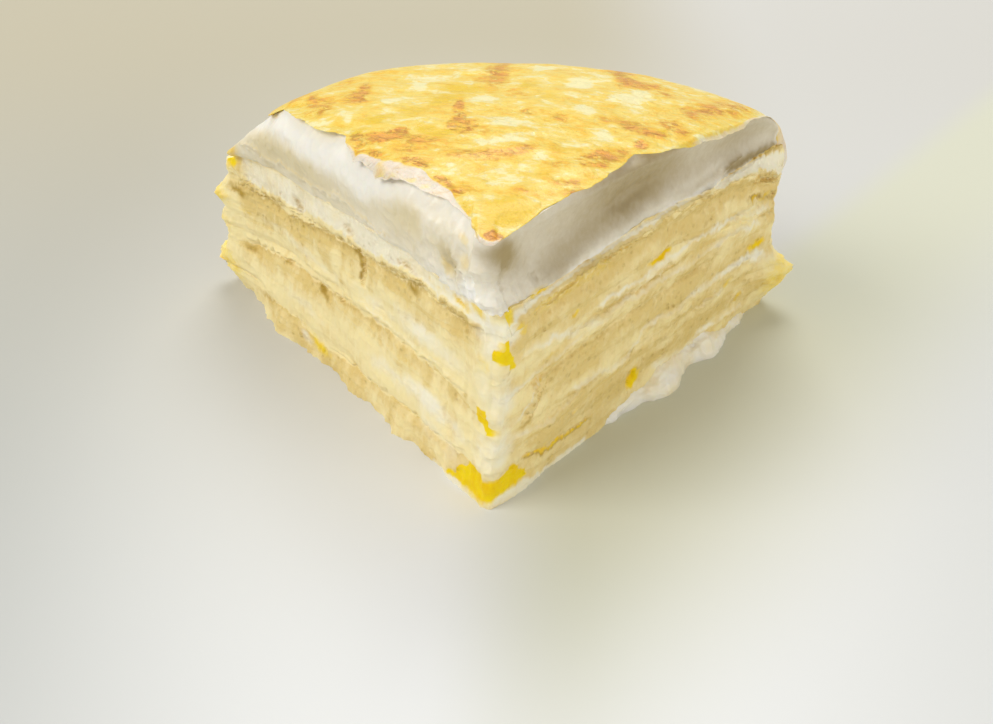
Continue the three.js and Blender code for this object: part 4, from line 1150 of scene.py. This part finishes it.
thickMaterial = cutFinish("thickCream", thickLook, 0.3)
creamMaterial = cutFinish("layerCream", cutLook, 0.42)
crepeMaterial = cutFinish("crepeEdge", cutLook, 0.5)
dress(makeSkin(), skinFinish("brownedCrepe", skinLook), "crepe_01")
print("slice: top crepe made")
dress(makeThickCream(), thickMaterial, "cream_01")
print("slice: thick cream made")
for i in range(2, 12):
    dress(makeLayer(i, "crepe"), crepeMaterial, f"crepe_{i:02d}")
    if i < 11:
        dress(makeLayer(i, "cream"), creamMaterial, f"cream_{i:02d}")
dress(makeFoot(), thickMaterial, "cream_foot")
print("slice: layers and foot made")

# the floor, the lights and the camera
studio = {
    # the floor's own tone, then painted shade: darker tones beside and behind the slice, and a shadow tone
    # along its right face
    "floor": tone(234, 236, 237), "sideFloor": tone(182, 184, 180), "farFloor": tone(188, 182, 162),
    "rightFloor": tone(204, 203, 198), "paintedShadowFloor": tone(209, 210, 192),
    "paper": {"through": 0.0, "radius": (1, 1, 1), "depth": 0.001, "gloss": 0.0, "coat": 0.0},
    "ambient": (1.0, 0.99, 0.965, 1.0), "ambientStrength": 0.48,
    "key": {"place": (-1.06, -0.36, 1.03), "size": 0.8, "power": 10.6, "colour": (1.0, 0.985, 0.96)},
    "fill": {"place": (0.55, -0.5, 0.25), "size": 0.5, "power": 1.5, "colour": (1.0, 0.96, 0.86)},
    "back": {"place": (0.05, 0.55, 0.75), "size": 0.5, "power": 4.1, "colour": (1.0, 0.99, 0.97)},
    "camera": {"place": (0.00023, -0.1601, 0.1301), "tilt": 50, "lens": 36.25, "film": 36, "near": 0.005},
}


def makeFloor():
    bpy.ops.object.select_all(action="DESELECT")
    bpy.ops.mesh.primitive_plane_add(size=6)
    floor = bpy.context.object
    floor.name = "floor"
    finish = Finish("paleFloor")
    across, far = (finish.node("SeparateXYZ", sockets={0: finish.place}, output=axis) for axis in "XY")
    # painted shade: the floor is darker beside the slice and behind it
    beside = finish.step(0 - across, 0.0, 0.11) + finish.step(across, -0.01, 0.1) * 0.5
    colour = finish.blend(beside, studio["floor"], studio["sideFloor"])
    behind = finish.blend(finish.step(across, 0.02, 0.09), studio["farFloor"], studio["rightFloor"])
    colour = finish.blend(finish.step(far + finish.noise(3) * 0.02, -0.06, 0.18), colour, behind)
    outward = across * 0.725 - (far + 0.045) * 0.688      # distance from the right face
    # painted shadow: a darker, yellower band along the slice's right face
    beyond = finish.step(outward, -0.012, 0.0) * (1 - finish.step(outward, 0.012, 0.058))
    paintedShadow = beyond * finish.step(across, -0.012, 0.016)
    colour = finish.blend(paintedShadow, colour, studio["paintedShadowFloor"])
    floor.data.materials.append(finish.shade(studio["paper"], colour, 0.6, finish.noise(30), 0.0001))
    floor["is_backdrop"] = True


def addLight(name, settings):
    bpy.ops.object.light_add(type="AREA", location=settings["place"])
    light = bpy.context.object
    light.name = name
    light.data.size = settings["size"]
    light.data.energy = settings["power"]
    light.data.color = settings["colour"]
    light.rotation_euler = light.location.to_track_quat("Z", "Y").to_euler()


makeFloor()
addLight("keyLight", studio["key"])
addLight("fillLight", studio["fill"])
addLight("backLight", studio["back"])
world = bpy.data.worlds.new("softSky")
bpy.context.scene.world = world
world.use_nodes = True
background = world.node_tree.nodes["Background"]
background.inputs["Color"].default_value = studio["ambient"]
background.inputs["Strength"].default_value = studio["ambientStrength"]
bpy.context.scene.view_settings.view_transform = "Standard"

view = studio["camera"]
bpy.ops.object.camera_add(location=view["place"], rotation=(math.radians(view["tilt"]), 0, 0))
camera = bpy.context.object
camera.data.lens = view["lens"]
camera.data.sensor_width = view["film"]
camera.data.clip_start = view["near"]
bpy.context.scene.camera = camera
print("slice: stage and camera set")

low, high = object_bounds()
{"cad": [list(cadLow), list(cadHigh)], "visual": [list(low), list(high)]}
